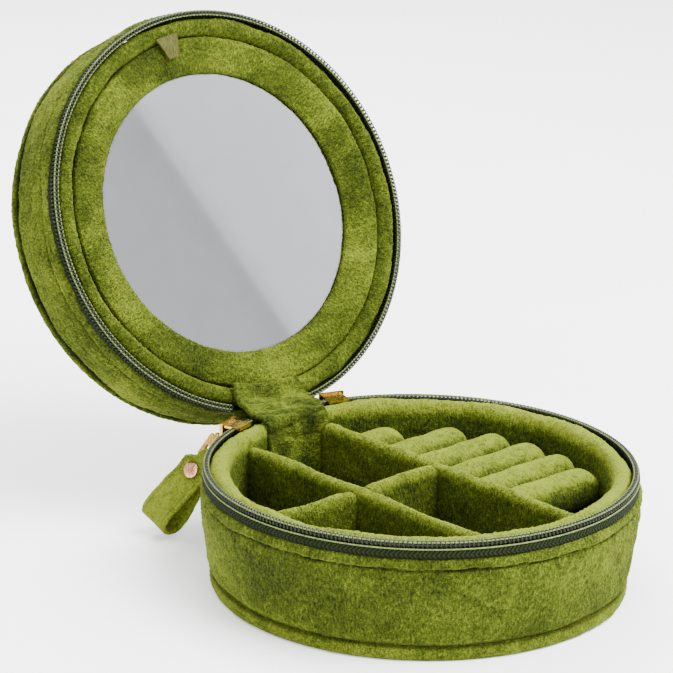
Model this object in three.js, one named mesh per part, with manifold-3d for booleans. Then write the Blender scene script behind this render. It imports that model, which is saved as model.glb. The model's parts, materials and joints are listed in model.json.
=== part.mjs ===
// Round velvet travel jewellery case, shown open, in millimetres with +Z up.
// The origin is the middle of the underside and the lid hinge is at +Y.
// Lid pieces are drawn closed over the base, then turned open about the hinge line.
import * as THREE from 'three';
import { mergeVertices } from 'three/addons/utils/BufferGeometryUtils.js';
import Module from 'manifold-3d';

const wasm = await Module();
wasm.setup();

// ---- Driving dimensions ----
const CASE_RADIUS = 57.2;
const FOOT_RADIUS = 54.8;
const LINER_RADIUS = 50;
const BASE_HEIGHT = 32.6;
const LID_DEPTH = 24.3;
const OPEN_ANGLE = 114.2;
const HINGE_LINE_Y = 58;
const HINGE_LINE_Z = 30.5;
const HINGE_TURN = 4.6;
const HINGE_HALF_ARC = 12;
const SLIDER_HALF_ARC = 18.5;
const SKIN = 1.6;
const BOARD = 1;
const GAP = 0.3;
const RING_STEPS = 60;

// ---- Inside the base ----
const FLOOR_Z = 6;
const INSERT_TURN = 5;
const DIVIDER_THICKNESS = 3;
const DIVIDER_TOP = 29;
const RING_DIVIDER_X = 9.5;
const LONG_DIVIDER_X = -19;
const CROSS_DIVIDER_Y = 3;
const ROLL_RADIUS = 5.6;
const ROLL_PITCH = 11.5;
const ROLL_COUNT = 6;
const FIRST_ROLL_Y = 37.5;
const ROLL_AXIS_Z = 21.2;
const ROLL_DOME = 4;

// ---- Mirror panel in the lid ----
const PANEL_FRONT_Z = 36;
const PANEL_RIM_Z = 34.2;
const PANEL_RADIUS = 49.6;
const MIRROR_SIGHT_RADIUS = 39.6;
const MIRROR_RADIUS = 41.6;
const MIRROR_THICKNESS = 1.8;
const TAB_TURN = 170.2;
const TAB_LENGTH = 6.4;
const TAB_THICKNESS = 0.8;

// ---- Zip ----
const TEETH_RADIUS = 55.9;
const TEETH_WIDTH = 1.4;
const TEETH_HEIGHT = 1.4;
const TEETH_CLEARANCE = 0.6;
const TAPE_THICKNESS = 0.9;
const TAPE_HEIGHT = 2.1;

// ---- Pull straps ----
const STRAP_WIDTH = 10;
const STRAP_ROOT_WIDTH = 3.2;
const STRAP_THICKNESS = 1.5;
const STRAP_END = 29.6;
const PULL_PIVOT_RADIUS = 62.4;
const PULL_RING_HALF = 2.7;
const PULL_RING_WIRE = 1.1;
const PULL_RING_LENGTH = 6.2;
const PULL_PIVOT_Z = 27;
const RIVET_AT = 10.5;
const RIVET_HEAD_RADIUS = 2.3;
const RIVET_HEAD_THICKNESS = 0.8;
const RIVET_SHANK_RADIUS = 1.1;

const radians = THREE.MathUtils.degToRad;

const velvet = new THREE.MeshStandardMaterial({ color: 0x86922a, roughness: 0.95, metalness: 0 });
const darkVelvet = new THREE.MeshStandardMaterial({ color: 0x6c7a1c, roughness: 0.95, metalness: 0 });
const board = new THREE.MeshStandardMaterial({ color: 0x8d8672, roughness: 0.85, metalness: 0 });
const zipTape = new THREE.MeshStandardMaterial({ color: 0x55643f, roughness: 0.85, metalness: 0 });
const zipTeeth = new THREE.MeshStandardMaterial({ color: 0x64744c, roughness: 0.5, metalness: 0 });
const satin = new THREE.MeshStandardMaterial({ color: 0x8f8c3c, roughness: 0.45, metalness: 0 });
const mirror = new THREE.MeshStandardMaterial({ color: 0xc9cacd, roughness: 0.04, metalness: 1 });
const gold = new THREE.MeshStandardMaterial({ color: 0xc8a650, roughness: 0.25, metalness: 1 });
const roseGold = new THREE.MeshStandardMaterial({ color: 0xd2a08c, roughness: 0.25, metalness: 1 });

// ---- Shape helpers ----

// One closed surface with shared corners and its faces turned outward.
function closedSolid(geometry) {
  const bare = new THREE.BufferGeometry();
  bare.setAttribute('position', geometry.getAttribute('position'));
  bare.setIndex(geometry.index);
  const merged = mergeVertices(bare, 1e-4);
  const corners = merged.getAttribute('position');
  const faces = merged.index.array;
  let volume = 0;
  const [a, b, c] = [new THREE.Vector3(), new THREE.Vector3(), new THREE.Vector3()];
  for (let i = 0; i < faces.length; i += 3) {
    a.fromBufferAttribute(corners, faces[i]);
    b.fromBufferAttribute(corners, faces[i + 1]);
    c.fromBufferAttribute(corners, faces[i + 2]);
    volume += a.dot(b.cross(c));
  }
  if (volume < 0) {
    for (let i = 0; i < faces.length; i += 3) {
      [faces[i], faces[i + 1]] = [faces[i + 1], faces[i]];
    }
  }
  return merged;
}

function toManifold(geometry) {
  return new wasm.Manifold(
    new wasm.Mesh({
      numProp: 3,
      vertProperties: new Float32Array(geometry.getAttribute('position').array),
      triVerts: new Uint32Array(geometry.index.array),
    })
  );
}

function fromManifold(solid) {
  const mesh = solid.getMesh();
  const geometry = new THREE.BufferGeometry();
  geometry.setAttribute('position', new THREE.BufferAttribute(new Float32Array(mesh.vertProperties), 3));
  geometry.setIndex(new THREE.BufferAttribute(new Uint32Array(mesh.triVerts), 1));
  return geometry;
}

function joined(first, ...others) {
  return fromManifold(others.reduce((sum, g) => sum.add(toManifold(g)), toManifold(first)));
}

function cut(body, ...tools) {
  return fromManifold(tools.reduce((rest, g) => rest.subtract(toManifold(g)), toManifold(body)));
}

// The point at a radius and height, at an angle counted anticlockwise from +Y.
function around(radius, degrees, z) {
  const turn = radians(degrees);
  return new THREE.Vector3(-radius * Math.sin(turn), radius * Math.cos(turn), z);
}

// A full turn of a closed [radius, z] outline about the Z axis.
function ring(outline, steps = RING_STEPS) {
  const points = [...outline, outline[0]].map(([r, z]) => new THREE.Vector2(r, z));
  return closedSolid(new THREE.LatheGeometry(points, steps).rotateX(Math.PI / 2));
}

// A disc whose [radius, z] outline starts and ends on the Z axis.
function disc(radius, low, high, edge = 0) {
  const outline = [
    [0, low],
    [radius, low],
    [radius, high - edge],
    [radius - edge, high],
    [0, high],
  ];
  const points = outline.map(([r, z]) => new THREE.Vector2(r, z));
  return closedSolid(new THREE.LatheGeometry(points, RING_STEPS).rotateX(Math.PI / 2));
}

// A flat [u, v] section carried through stations; place(u, v, station) gives each corner.
function sweep(outline, stations, place) {
  const clockwise = THREE.ShapeUtils.isClockWise(outline.map(([u, v]) => new THREE.Vector2(u, v)));
  const section = clockwise ? [...outline].reverse() : outline;
  const size = section.length;
  const corners = stations.flatMap((s) => section.flatMap(([u, v]) => place(u, v, s).toArray()));
  const faces = [];
  for (let i = 0; i + 1 < stations.length; i += 1) {
    for (let j = 0; j < size; j += 1) {
      const a = i * size + j;
      const b = i * size + ((j + 1) % size);
      faces.push(a, b, a + size, b, b + size, a + size);
    }
  }
  const flat = section.map(([u, v]) => new THREE.Vector2(u, v));
  const last = (stations.length - 1) * size;
  for (const [a, b, c] of THREE.ShapeUtils.triangulateShape(flat, [])) {
    faces.push(a, c, b);
    faces.push(last + a, last + b, last + c);
  }
  const geometry = new THREE.BufferGeometry();
  geometry.setAttribute('position', new THREE.BufferAttribute(new Float32Array(corners), 3));
  geometry.setIndex(faces);
  return closedSolid(geometry);
}

// Part of a ring, from one angle round to another.
function arc(outline, fromDegrees, toDegrees, steps) {
  const step = (toDegrees - fromDegrees) / steps;
  const angles = Array.from({ length: steps + 1 }, (_, i) => fromDegrees + step * i);
  return sweep(outline, angles, (r, z, angle) => around(r, angle, z));
}

// A sheet of even thickness about a grid of middle points, in a loop if the rows close on themselves.
function thickSheet(rows, thickness, loop = false) {
  const columns = rows[0].length;
  const wrapped = (i) => (i + rows.length) % rows.length;
  const held = (i) => THREE.MathUtils.clamp(i, 0, rows.length - 1);
  const row = (i) => rows[loop ? wrapped(i) : held(i)];
  const at = (i, j) => row(i)[THREE.MathUtils.clamp(j, 0, columns - 1)];
  const corners = [];
  for (let i = 0; i < rows.length; i += 1) {
    const faces = [[], []];
    for (let j = 0; j < columns; j += 1) {
      const along = at(i + 1, j).clone().sub(at(i - 1, j));
      const across = at(i, j + 1).clone().sub(at(i, j - 1));
      const half = along.cross(across).setLength(thickness / 2);
      faces[0].push(at(i, j).clone().add(half));
      faces[1].unshift(at(i, j).clone().sub(half));
    }
    corners.push(faces.flat());
  }
  const stations = loop ? [...corners.keys(), 0] : [...corners.keys()];
  const size = columns * 2;
  const points = corners.flatMap((line) => line.flatMap((p) => p.toArray()));
  const faces = [];
  for (let s = 0; s + 1 < stations.length; s += 1) {
    for (let j = 0; j < size; j += 1) {
      const next = (j + 1) % size;
      const [a, b] = [stations[s] * size + j, stations[s] * size + next];
      const [c, d] = [stations[s + 1] * size + j, stations[s + 1] * size + next];
      faces.push(a, b, c, b, d, c);
    }
  }
  if (!loop) {
    const last = (rows.length - 1) * size;
    for (let j = 0; j + 1 < columns; j += 1) {
      const [a, b, c, d] = [j, j + 1, size - 2 - j, size - 1 - j];
      faces.push(a, c, b, a, d, c);
      faces.push(last + a, last + b, last + c, last + a, last + c, last + d);
    }
  }
  const geometry = new THREE.BufferGeometry();
  geometry.setAttribute('position', new THREE.BufferAttribute(new Float32Array(points), 3));
  geometry.setIndex(faces);
  return closedSolid(geometry);
}

// An upright slab over a plan outline of [x, y] corners.
function slab(outline, low, high) {
  const shape = new THREE.Shape(outline.map(([x, y]) => new THREE.Vector2(x, y)));
  const geometry = new THREE.ExtrudeGeometry(shape, { depth: high - low, bevelEnabled: false });
  return closedSolid(geometry.translate(0, 0, low));
}

function box(low, high) {
  const size = high.map((value, i) => value - low[i]);
  const geometry = new THREE.BoxGeometry(...size);
  return closedSolid(geometry.translate(...low.map((value, i) => value + size[i] / 2)));
}

const openTurn = new THREE.Matrix4().makeRotationX(radians(-OPEN_ANGLE));
const hingeShift = new THREE.Matrix4().makeTranslation(0, HINGE_LINE_Y, HINGE_LINE_Z);
const openLid = hingeShift.clone().multiply(openTurn).multiply(hingeShift.clone().invert());

function lidSolid(geometry) {
  return geometry.applyMatrix4(openLid);
}

// The same outline above the closing plane instead of below it.
function mirroredUp(outline) {
  return outline.map(([r, z]) => [r, 2 * BASE_HEIGHT - z]);
}

// ---- Outlines shared by the base and the lid ----

const teethTop = BASE_HEIGHT - TEETH_CLEARANCE;
const teethLow = teethTop - TEETH_HEIGHT;
const tapeTop = teethLow - GAP;
const tapeLow = tapeTop - TAPE_HEIGHT;
const wallTop = tapeLow - GAP;
const lipTop = BASE_HEIGHT - 0.8;

const teethOutline = [
  [TEETH_RADIUS - TEETH_WIDTH / 2 + 0.2, teethLow],
  [TEETH_RADIUS + TEETH_WIDTH / 2 - 0.2, teethLow],
  [TEETH_RADIUS + TEETH_WIDTH / 2, (teethLow + teethTop) / 2],
  [TEETH_RADIUS + TEETH_WIDTH / 2 - 0.4, teethTop],
  [TEETH_RADIUS - TEETH_WIDTH / 2 + 0.4, teethTop],
  [TEETH_RADIUS - TEETH_WIDTH / 2, (teethLow + teethTop) / 2],
];

const tapeOutline = [
  [CASE_RADIUS - TAPE_THICKNESS - 0.1, tapeLow],
  [CASE_RADIUS - 0.1, tapeLow],
  [TEETH_RADIUS + 0.6, tapeTop],
  [TEETH_RADIUS + 0.6 - TAPE_THICKNESS, tapeTop],
];

// The padded lip and lining down to a floor: it rolls outward over the edge of the wall board.
function liningOutline(low) {
  const back = LINER_RADIUS + SKIN;
  return [
    [LINER_RADIUS, low],
    [back, low],
    [back, wallTop - 0.4],
    [back + 2.2, wallTop + 0.4],
    [back + 2.4, lipTop - 2],
    [back + 2.2, lipTop - 0.8],
    [back + 1.3, lipTop],
    [back - 0.2, lipTop],
    [LINER_RADIUS + 0.3, lipTop - 0.8],
    [LINER_RADIUS, lipTop - 2.2],
  ];
}

const boardInside = LINER_RADIUS + SKIN + GAP;
const boardOutside = boardInside + BOARD;
const chainStart = HINGE_TURN + HINGE_HALF_ARC;
const chainEnd = HINGE_TURN - HINGE_HALF_ARC + 360;

// ---- Base shell ----

const panelTop = 2.2;
const floorBoardLow = panelTop + GAP;
const floorPadLow = floorBoardLow + BOARD + GAP;
const weltTop = 4;

function baseWelt() {
  const inner = FOOT_RADIUS - SKIN;
  return ring([
    [inner, 0.6],
    [inner + 0.4, 0.2],
    [FOOT_RADIUS - 0.4, 0.3],
    [FOOT_RADIUS, 1.2],
    [FOOT_RADIUS, weltTop - 0.8],
    [FOOT_RADIUS - 0.4, weltTop],
    [inner, weltTop],
  ]);
}

function baseWall() {
  const low = weltTop + GAP;
  const middle = (low + wallTop) / 2;
  const waist = (FOOT_RADIUS + CASE_RADIUS) / 2 + 0.4;
  return ring([
    [FOOT_RADIUS - SKIN, low],
    [FOOT_RADIUS, low],
    [waist, middle],
    [CASE_RADIUS, wallTop - 2],
    [CASE_RADIUS, wallTop],
    [CASE_RADIUS - SKIN + 0.4, wallTop],
    [waist - SKIN, middle],
  ]);
}

// ---- Insert: dividers and ring rolls, drawn square then turned to suit the case ----

function turnedInsert(geometry) {
  return geometry.rotateZ(radians(INSERT_TURN));
}

const halfDivider = DIVIDER_THICKNESS / 2;
const insertRadius = LINER_RADIUS - GAP;
const insertLow = FLOOR_Z + GAP;
const chordEnd = (x, radius) => Math.sqrt(radius * radius - x * x);

// A divider right across the insert; its hinge end stops short where a strip covers the wall.
function longDivider(x, hingeRadius = insertRadius) {
  const [left, right] = [x - halfDivider, x + halfDivider];
  const outline = [
    [left, -chordEnd(left, insertRadius)],
    [right, -chordEnd(right, insertRadius)],
    [right, chordEnd(right, hingeRadius)],
    [left, chordEnd(left, hingeRadius)],
  ];
  return turnedInsert(slab(outline, insertLow, DIVIDER_TOP));
}

function crossDivider(left, right) {
  const [low, high] = [CROSS_DIVIDER_Y - halfDivider, CROSS_DIVIDER_Y + halfDivider];
  const outline = [
    [left, low],
    [right, low],
    [right, high],
    [left, high],
  ];
  return turnedInsert(slab(outline, insertLow, DIVIDER_TOP));
}

const rollStart = RING_DIVIDER_X + halfDivider + GAP;

function ringBed() {
  const steps = 16;
  const reach = Math.acos(rollStart / insertRadius);
  const rim = Array.from({ length: steps + 1 }, (_, i) => {
    const turn = -reach + (2 * reach * i) / steps;
    return [insertRadius * Math.cos(turn), insertRadius * Math.sin(turn)];
  });
  return turnedInsert(slab(rim, insertLow, ROLL_AXIS_Z - ROLL_RADIUS - GAP));
}

// A round padded roll with a domed end that follows the wall of the case.
function ringRoll(index) {
  const y = FIRST_ROLL_Y - index * ROLL_PITCH;
  const shoulder = chordEnd(Math.abs(y) + ROLL_RADIUS, insertRadius) + ROLL_DOME - GAP;
  const end = Math.min(chordEnd(y, insertRadius - 1), shoulder);
  const length = end - rollStart;
  const outline = [[0, 0], [ROLL_RADIUS, 0]];
  for (const turn of [0, 30, 60]) {
    outline.push([
      ROLL_RADIUS * Math.cos(radians(turn)),
      length - ROLL_DOME + ROLL_DOME * Math.sin(radians(turn)),
    ]);
  }
  outline.push([0, length]);
  const points = outline.map(([r, along]) => new THREE.Vector2(r, along));
  const roll = new THREE.LatheGeometry(points, 18).rotateZ(-Math.PI / 2);
  return turnedInsert(closedSolid(roll.translate(rollStart, y, ROLL_AXIS_Z)));
}

// ---- Lid shell, drawn closed ----

const lidTop = BASE_HEIGHT + LID_DEPTH;
const lidWallTop = lidTop - 3.7;
const liningDiscLow = lidTop - 5.9;

function lidWall() {
  const low = 2 * BASE_HEIGHT - wallTop;
  return ring([
    [CASE_RADIUS - SKIN + 0.4, low],
    [CASE_RADIUS, low],
    [CASE_RADIUS + 0.1, low + 3],
    [CASE_RADIUS - 0.2, lidWallTop],
    [CASE_RADIUS - SKIN - 0.2, lidWallTop],
  ]);
}

function lidWelt() {
  const inner = CASE_RADIUS - 2;
  const outer = CASE_RADIUS - 0.2;
  const low = lidWallTop + GAP;
  return ring([
    [inner, low],
    [outer, low],
    [outer + 0.1, low + 1],
    [outer, lidTop - 0.8],
    [outer - 0.5, lidTop],
    [inner + 0.3, lidTop - 0.1],
  ]);
}

function capBoard() {
  return disc(CASE_RADIUS - SKIN - 1.2, lidWallTop + GAP, lidWallTop + GAP + BOARD);
}

function capPanel() {
  return disc(CASE_RADIUS - 2.3, lidWallTop + BOARD + 2 * GAP, lidTop - 0.2, 0.5);
}

// ---- Mirror panel, drawn closed ----

const glassLow = PANEL_FRONT_Z + 1.4;
const glassHigh = glassLow + MIRROR_THICKNESS;

function mirrorSurround() {
  return ring([
    [MIRROR_SIGHT_RADIUS, PANEL_FRONT_Z + 0.7],
    [MIRROR_SIGHT_RADIUS + 1.2, PANEL_FRONT_Z],
    [MIRROR_SIGHT_RADIUS + 4.6, PANEL_RIM_Z + 0.6],
    [PANEL_RADIUS - 3, PANEL_RIM_Z],
    [PANEL_RADIUS - 1.5, PANEL_RIM_Z + 0.2],
    [PANEL_RADIUS - 0.5, PANEL_RIM_Z + 1],
    [PANEL_RADIUS, PANEL_RIM_Z + 2],
    [PANEL_RADIUS, glassHigh],
    [MIRROR_RADIUS + GAP, glassHigh],
    [MIRROR_RADIUS + GAP, glassLow - GAP],
    [MIRROR_SIGHT_RADIUS, glassLow - GAP],
  ]);
}

// A tapered tab lying on the surround, its wide end reaching over the lid's lip.
function pullTab() {
  const outer = PANEL_RADIUS + 1.6;
  const inner = outer - TAB_LENGTH;
  const high = 2 * BASE_HEIGHT - lipTop - GAP;
  const tab = slab(
    [
      [-3.5, outer],
      [-1.7, inner],
      [1.7, inner],
      [3.5, outer],
    ],
    high - TAB_THICKNESS,
    high
  );
  return tab.rotateZ(radians(TAB_TURN));
}

// ---- Hinge fabric, bending between the base and the open lid ----

// A strip point: low stations lie on the base and high ones on the lid.
function hingePoint({ r, z, onLid }, degrees) {
  const point = around(r, degrees, z);
  return onLid ? point.applyMatrix4(openLid) : point;
}

function hingeSheet(path, halfArc, columns, thickness) {
  const rows = path.map((station) =>
    Array.from({ length: columns }, (_, j) => {
      const degrees = HINGE_TURN + halfArc - (2 * halfArc * j) / (columns - 1);
      return hingePoint(station, degrees);
    })
  );
  return thickSheet(rows, thickness);
}

const STRIP_THICKNESS = 1.2;
const stripRadius = LINER_RADIUS - GAP - STRIP_THICKNESS / 2;
const overLip = lipTop + GAP + STRIP_THICKNESS / 2;

function hingeStrip() {
  const mirrored = 2 * BASE_HEIGHT;
  const path = [
    { r: stripRadius, z: 11 },
    { r: stripRadius, z: 21 },
    { r: stripRadius, z: lipTop - 1.6 },
    { r: LINER_RADIUS + 0.2, z: overLip - 0.4 },
    { r: LINER_RADIUS + 2.2, z: overLip },
    { r: CASE_RADIUS - 2.2, z: overLip + 0.5 },
    { r: CASE_RADIUS - 3, z: mirrored - overLip - 0.3, onLid: true },
    { r: LINER_RADIUS + 2, z: mirrored - overLip, onLid: true },
    { r: LINER_RADIUS, z: mirrored - overLip + 0.4, onLid: true },
    { r: LINER_RADIUS - 0.7, z: mirrored - overLip + 0.7, onLid: true },
  ];
  return hingeSheet(path, HINGE_HALF_ARC, 7, STRIP_THICKNESS);
}

function hingeGusset() {
  const thickness = 0.9;
  const radius = CASE_RADIUS - thickness;
  const low = wallTop + GAP;
  const path = [
    { r: radius, z: low },
    { r: radius, z: low + 1 },
    { r: radius + 0.2, z: low + 2 },
    { r: radius + 0.2, z: 2 * BASE_HEIGHT - low - 2, onLid: true },
    { r: radius, z: 2 * BASE_HEIGHT - low - 1, onLid: true },
    { r: radius, z: 2 * BASE_HEIGHT - low, onLid: true },
  ];
  return hingeSheet(path, HINGE_HALF_ARC - 0.4, 7, thickness);
}

// ---- Zip sliders and pull straps, one of each at both ends of the zip ----

const mirrorPlane = around(1, HINGE_TURN + 90, 0);

// The same direction or point on the other side of the hinge's middle plane.
function otherSide(vector) {
  return vector.clone().addScaledVector(mirrorPlane, -2 * vector.dot(mirrorPlane));
}

// The pull hangs from its pivot along `down`, its pivot wire runs along `across`.
function pullFrame(side) {
  const pivot = around(PULL_PIVOT_RADIUS, HINGE_TURN + SLIDER_HALF_ARC, PULL_PIVOT_Z);
  const down = new THREE.Vector3(-0.48, 0.29, -0.82).normalize();
  const wide = new THREE.Vector3(0.12, -0.91, -0.4);
  const across = wide.addScaledVector(down, -wide.dot(down)).normalize();
  const face = down.clone().cross(across);
  const axes = [across, down, face];
  return side === 'left' ? { pivot, axes } : { pivot: otherSide(pivot), axes: axes.map(otherSide) };
}

function inPullFrame({ pivot, axes }, a, d, f) {
  const [across, down, face] = axes;
  return pivot.clone().addScaledVector(across, a).addScaledVector(down, d).addScaledVector(face, f);
}

// A block whose [across, down, face] limits are given in a pull's own frame.
function pullBlock(frame, low, high) {
  const section = [
    [low[0], low[1]],
    [high[0], low[1]],
    [high[0], high[1]],
    [low[0], high[1]],
  ];
  return sweep(section, [low[2], high[2]], (a, d, f) => inPullFrame(frame, a, d, f));
}

// A round bar along one of the frame's axes: 0 runs across and 2 runs out of the face.
function pullBar(frame, axis, radius, centre, from, to) {
  const sides = 14;
  const section = Array.from({ length: sides }, (_, i) => {
    const turn = (2 * Math.PI * i) / sides;
    return [radius * Math.cos(turn), radius * Math.sin(turn)];
  });
  const place = (u, v, s) => {
    const offsets = axis === 0 ? [s, centre + u, v] : [u, centre + v, s];
    return inPullFrame(frame, ...offsets);
  };
  return sweep(section, [from, to], place);
}

// A slider: a plate outside the zip, a thin web between the teeth rows, and a small plate inside.
const WEB_HALF = 0.3;
const PLATE_HALF_WIDTH = 3.6;
const CHANNEL_HALF_WIDTH = 3;
const PLATE_FACE = 58.6;
const PLATE_THICKNESS = 0.9;
const PLATE_LOW = 25.6;
const PLATE_HIGH = BASE_HEIGHT + 0.8;
const INNER_PLATE_FACE = 53.5;
const INNER_PLATE_THICKNESS = 0.7;
const EYELET_HOLE = 1.15;
const EYELET_REACH = 2.1;
const EYELET_HALF_THICKNESS = 0.6;

function slider(side) {
  const frame = pullFrame(side);
  const angle = HINGE_TURN + (side === 'left' ? SLIDER_HALF_ARC : -SLIDER_HALF_ARC);
  const outerPlate = box(
    [-PLATE_HALF_WIDTH, PLATE_FACE, PLATE_LOW],
    [PLATE_HALF_WIDTH, PLATE_FACE + PLATE_THICKNESS, PLATE_HIGH]
  );
  const web = box(
    [-CHANNEL_HALF_WIDTH, INNER_PLATE_FACE + 0.3, BASE_HEIGHT - WEB_HALF],
    [CHANNEL_HALF_WIDTH, PLATE_FACE + PLATE_THICKNESS / 2, BASE_HEIGHT + WEB_HALF]
  );
  const innerPlate = box(
    [-CHANNEL_HALF_WIDTH, INNER_PLATE_FACE, BASE_HEIGHT - 0.5],
    [CHANNEL_HALF_WIDTH, INNER_PLATE_FACE + INNER_PLATE_THICKNESS, BASE_HEIGHT + 0.5]
  );
  const plates = [outerPlate, web, innerPlate].map((g) => g.rotateZ(radians(angle)));
  const eyelet = pullBlock(
    frame,
    [-EYELET_HALF_THICKNESS, -EYELET_REACH, -EYELET_REACH],
    [EYELET_HALF_THICKNESS, EYELET_REACH, EYELET_REACH]
  );
  const armSection = [
    [-EYELET_HALF_THICKNESS, -EYELET_REACH],
    [EYELET_HALF_THICKNESS, -EYELET_REACH],
    [EYELET_HALF_THICKNESS, 0.8 - EYELET_REACH],
    [-EYELET_HALF_THICKNESS, 0.8 - EYELET_REACH],
  ];
  const armEnd = inPullFrame(frame, 0, 0.4 - EYELET_REACH, 0.1 - EYELET_REACH);
  const arm = sweep(armSection, [0, 1], (a, d, s) => {
    const onEyelet = inPullFrame(frame, a, d, 0.1 - EYELET_REACH);
    const offset = onEyelet.clone().sub(armEnd).setZ(0);
    const onPlate = around(PLATE_FACE + PLATE_THICKNESS / 2, angle, onEyelet.z);
    return s ? onEyelet : onPlate.add(offset);
  });
  const hole = pullBar(frame, 0, EYELET_HOLE, 0, -3, 3);
  return cut(joined(...plates, eyelet, arm), hole);
}

function pullRing(side) {
  const frame = pullFrame(side);
  const half = PULL_RING_WIRE / 2;
  const inside = PULL_RING_HALF - PULL_RING_WIRE;
  const plate = pullBlock(frame, [-PULL_RING_HALF, -half, -half], [PULL_RING_HALF, PULL_RING_LENGTH, half]);
  const window = pullBlock(frame, [-inside, half, -1], [inside, PULL_RING_LENGTH - PULL_RING_WIRE, 1]);
  return cut(plate, window);
}

// Half the strap loop, from its fold round the ring to its end fold, as [down, face] points.
const STRAP_SIDE = [
  [4.05, 0],
  [4.5, 1.15],
  [5.6, 1.65],
  [8, 1.25],
  [13, 1.25],
  [18, 2.4],
  [23, 3.4],
  [STRAP_END - 3, 3.1],
  [STRAP_END - 1.1, 1.9],
  [STRAP_END - STRAP_THICKNESS / 2, 0],
];

function strapLoop(side) {
  const frame = pullFrame(side);
  const back = STRAP_SIDE.slice(1, -1).reverse().map(([d, f]) => [d, -f]);
  const rows = [...STRAP_SIDE, ...back].map(([d, f]) => {
    const spread = THREE.MathUtils.smoothstep(d, 5.8, 9);
    const half = (STRAP_ROOT_WIDTH + (STRAP_WIDTH - STRAP_ROOT_WIDTH) * spread) / 2;
    return [-half, 0, half].map((a) => inPullFrame(frame, a, d, f));
  });
  const hole = pullBar(frame, 2, RIVET_SHANK_RADIUS + GAP, RIVET_AT, -4, 4);
  return cut(thickSheet(rows, STRAP_THICKNESS, true), hole);
}

function rivet(side) {
  const frame = pullFrame(side);
  const headLow = 1.25 + STRAP_THICKNESS / 2 + 0.2;
  const headHigh = headLow + RIVET_HEAD_THICKNESS;
  const shank = pullBar(frame, 2, RIVET_SHANK_RADIUS, RIVET_AT, -headLow - 0.2, headLow + 0.2);
  const front = pullBar(frame, 2, RIVET_HEAD_RADIUS, RIVET_AT, headLow, headHigh);
  const back = pullBar(frame, 2, RIVET_HEAD_RADIUS, RIVET_AT, -headHigh, -headLow);
  return joined(shank, front, back);
}

// ---- Assembly ----

const part = new THREE.Group();
part.name = 'travel_jewelry_case';

function add(name, geometry, material) {
  const mesh = new THREE.Mesh(geometry.index ? geometry.toNonIndexed() : geometry, material);
  mesh.geometry.computeVertexNormals();
  mesh.name = name;
  part.add(mesh);
}

function addBase() {
  add('base_bottom_panel', disc(FOOT_RADIUS - SKIN - GAP, 0, panelTop), velvet);
  add('base_bottom_welt', baseWelt(), velvet);
  add('base_outer_wall', baseWall(), velvet);
  add('base_floor_board', disc(boardInside - GAP, floorBoardLow, floorBoardLow + BOARD), board);
  add(
    'base_wall_board',
    ring([
      [boardInside, floorBoardLow],
      [boardOutside, floorBoardLow],
      [boardOutside, wallTop - 1],
      [boardInside, wallTop - 1],
    ]),
    board
  );
  add('base_rim_liner', ring(liningOutline(floorPadLow)), velvet);
  add('base_floor_pad', disc(LINER_RADIUS - GAP, floorPadLow, FLOOR_Z, 0.6), darkVelvet);
  add('base_zip_tape', arc(tapeOutline, chainStart, chainEnd, 56), zipTape);
  add('base_zip_teeth', arc(teethOutline, chainStart, chainEnd, 56), zipTeeth);
}

function addInsert() {
  const stripClear = stripRadius - STRIP_THICKNESS / 2 - GAP;
  add('ring_side_divider', longDivider(RING_DIVIDER_X, stripClear), velvet);
  add('long_divider', longDivider(LONG_DIVIDER_X), velvet);
  const middleLeft = LONG_DIVIDER_X + halfDivider + GAP;
  const middleRight = RING_DIVIDER_X - halfDivider - GAP;
  add('cross_divider_middle', crossDivider(middleLeft, middleRight), velvet);
  const sideLeft = -chordEnd(CROSS_DIVIDER_Y + halfDivider, insertRadius);
  add('cross_divider_side', crossDivider(sideLeft, LONG_DIVIDER_X - halfDivider - GAP), velvet);
  add('ring_bed', ringBed(), darkVelvet);
  for (let i = 0; i < ROLL_COUNT; i += 1) {
    add(`ring_roll_${i + 1}`, ringRoll(i), velvet);
  }
}

function addLid() {
  add('lid_outer_wall', lidSolid(lidWall()), velvet);
  add('lid_cap_welt', lidSolid(lidWelt()), velvet);
  add('lid_cap_board', lidSolid(capBoard()), board);
  add('lid_cap_panel', lidSolid(capPanel()), velvet);
  add(
    'lid_wall_board',
    lidSolid(
      ring([
        [boardInside, 2 * BASE_HEIGHT - wallTop + 1],
        [boardOutside, 2 * BASE_HEIGHT - wallTop + 1],
        [boardOutside, lidWallTop - GAP],
        [boardInside, lidWallTop - GAP],
      ])
    ),
    board
  );
  const liningTop = liningDiscLow - GAP;
  add('lid_rim_liner', lidSolid(ring(mirroredUp(liningOutline(2 * BASE_HEIGHT - liningTop)))), velvet);
  const liningDisc = disc(boardInside - GAP, liningDiscLow, lidWallTop - GAP);
  add('lid_storage_lining', lidSolid(liningDisc), darkVelvet);
  add('lid_zip_tape', lidSolid(arc(mirroredUp(tapeOutline), chainStart, chainEnd, 56)), zipTape);
  add('lid_zip_teeth', lidSolid(arc(mirroredUp(teethOutline), chainStart, chainEnd, 56)), zipTeeth);
}

function addMirrorPanel() {
  const backLow = glassHigh + GAP;
  const backHigh = backLow + 1.8;
  add('mirror_surround', lidSolid(mirrorSurround()), velvet);
  add('mirror_glass', lidSolid(disc(MIRROR_RADIUS, glassLow, glassHigh)), mirror);
  add('mirror_backing', lidSolid(disc(PANEL_RADIUS - 0.2, backLow, backHigh)), darkVelvet);
  add('mirror_pull_tab', lidSolid(pullTab()), satin);
  const stopLow = backHigh + GAP;
  add(
    'mirror_stop_ring',
    lidSolid(
      ring([
        [LINER_RADIUS - GAP - 3.4, stopLow],
        [LINER_RADIUS - GAP, stopLow],
        [LINER_RADIUS - GAP, stopLow + 2],
        [LINER_RADIUS - GAP - 3.4, stopLow + 2],
      ])
    ),
    darkVelvet
  );
}

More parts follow.
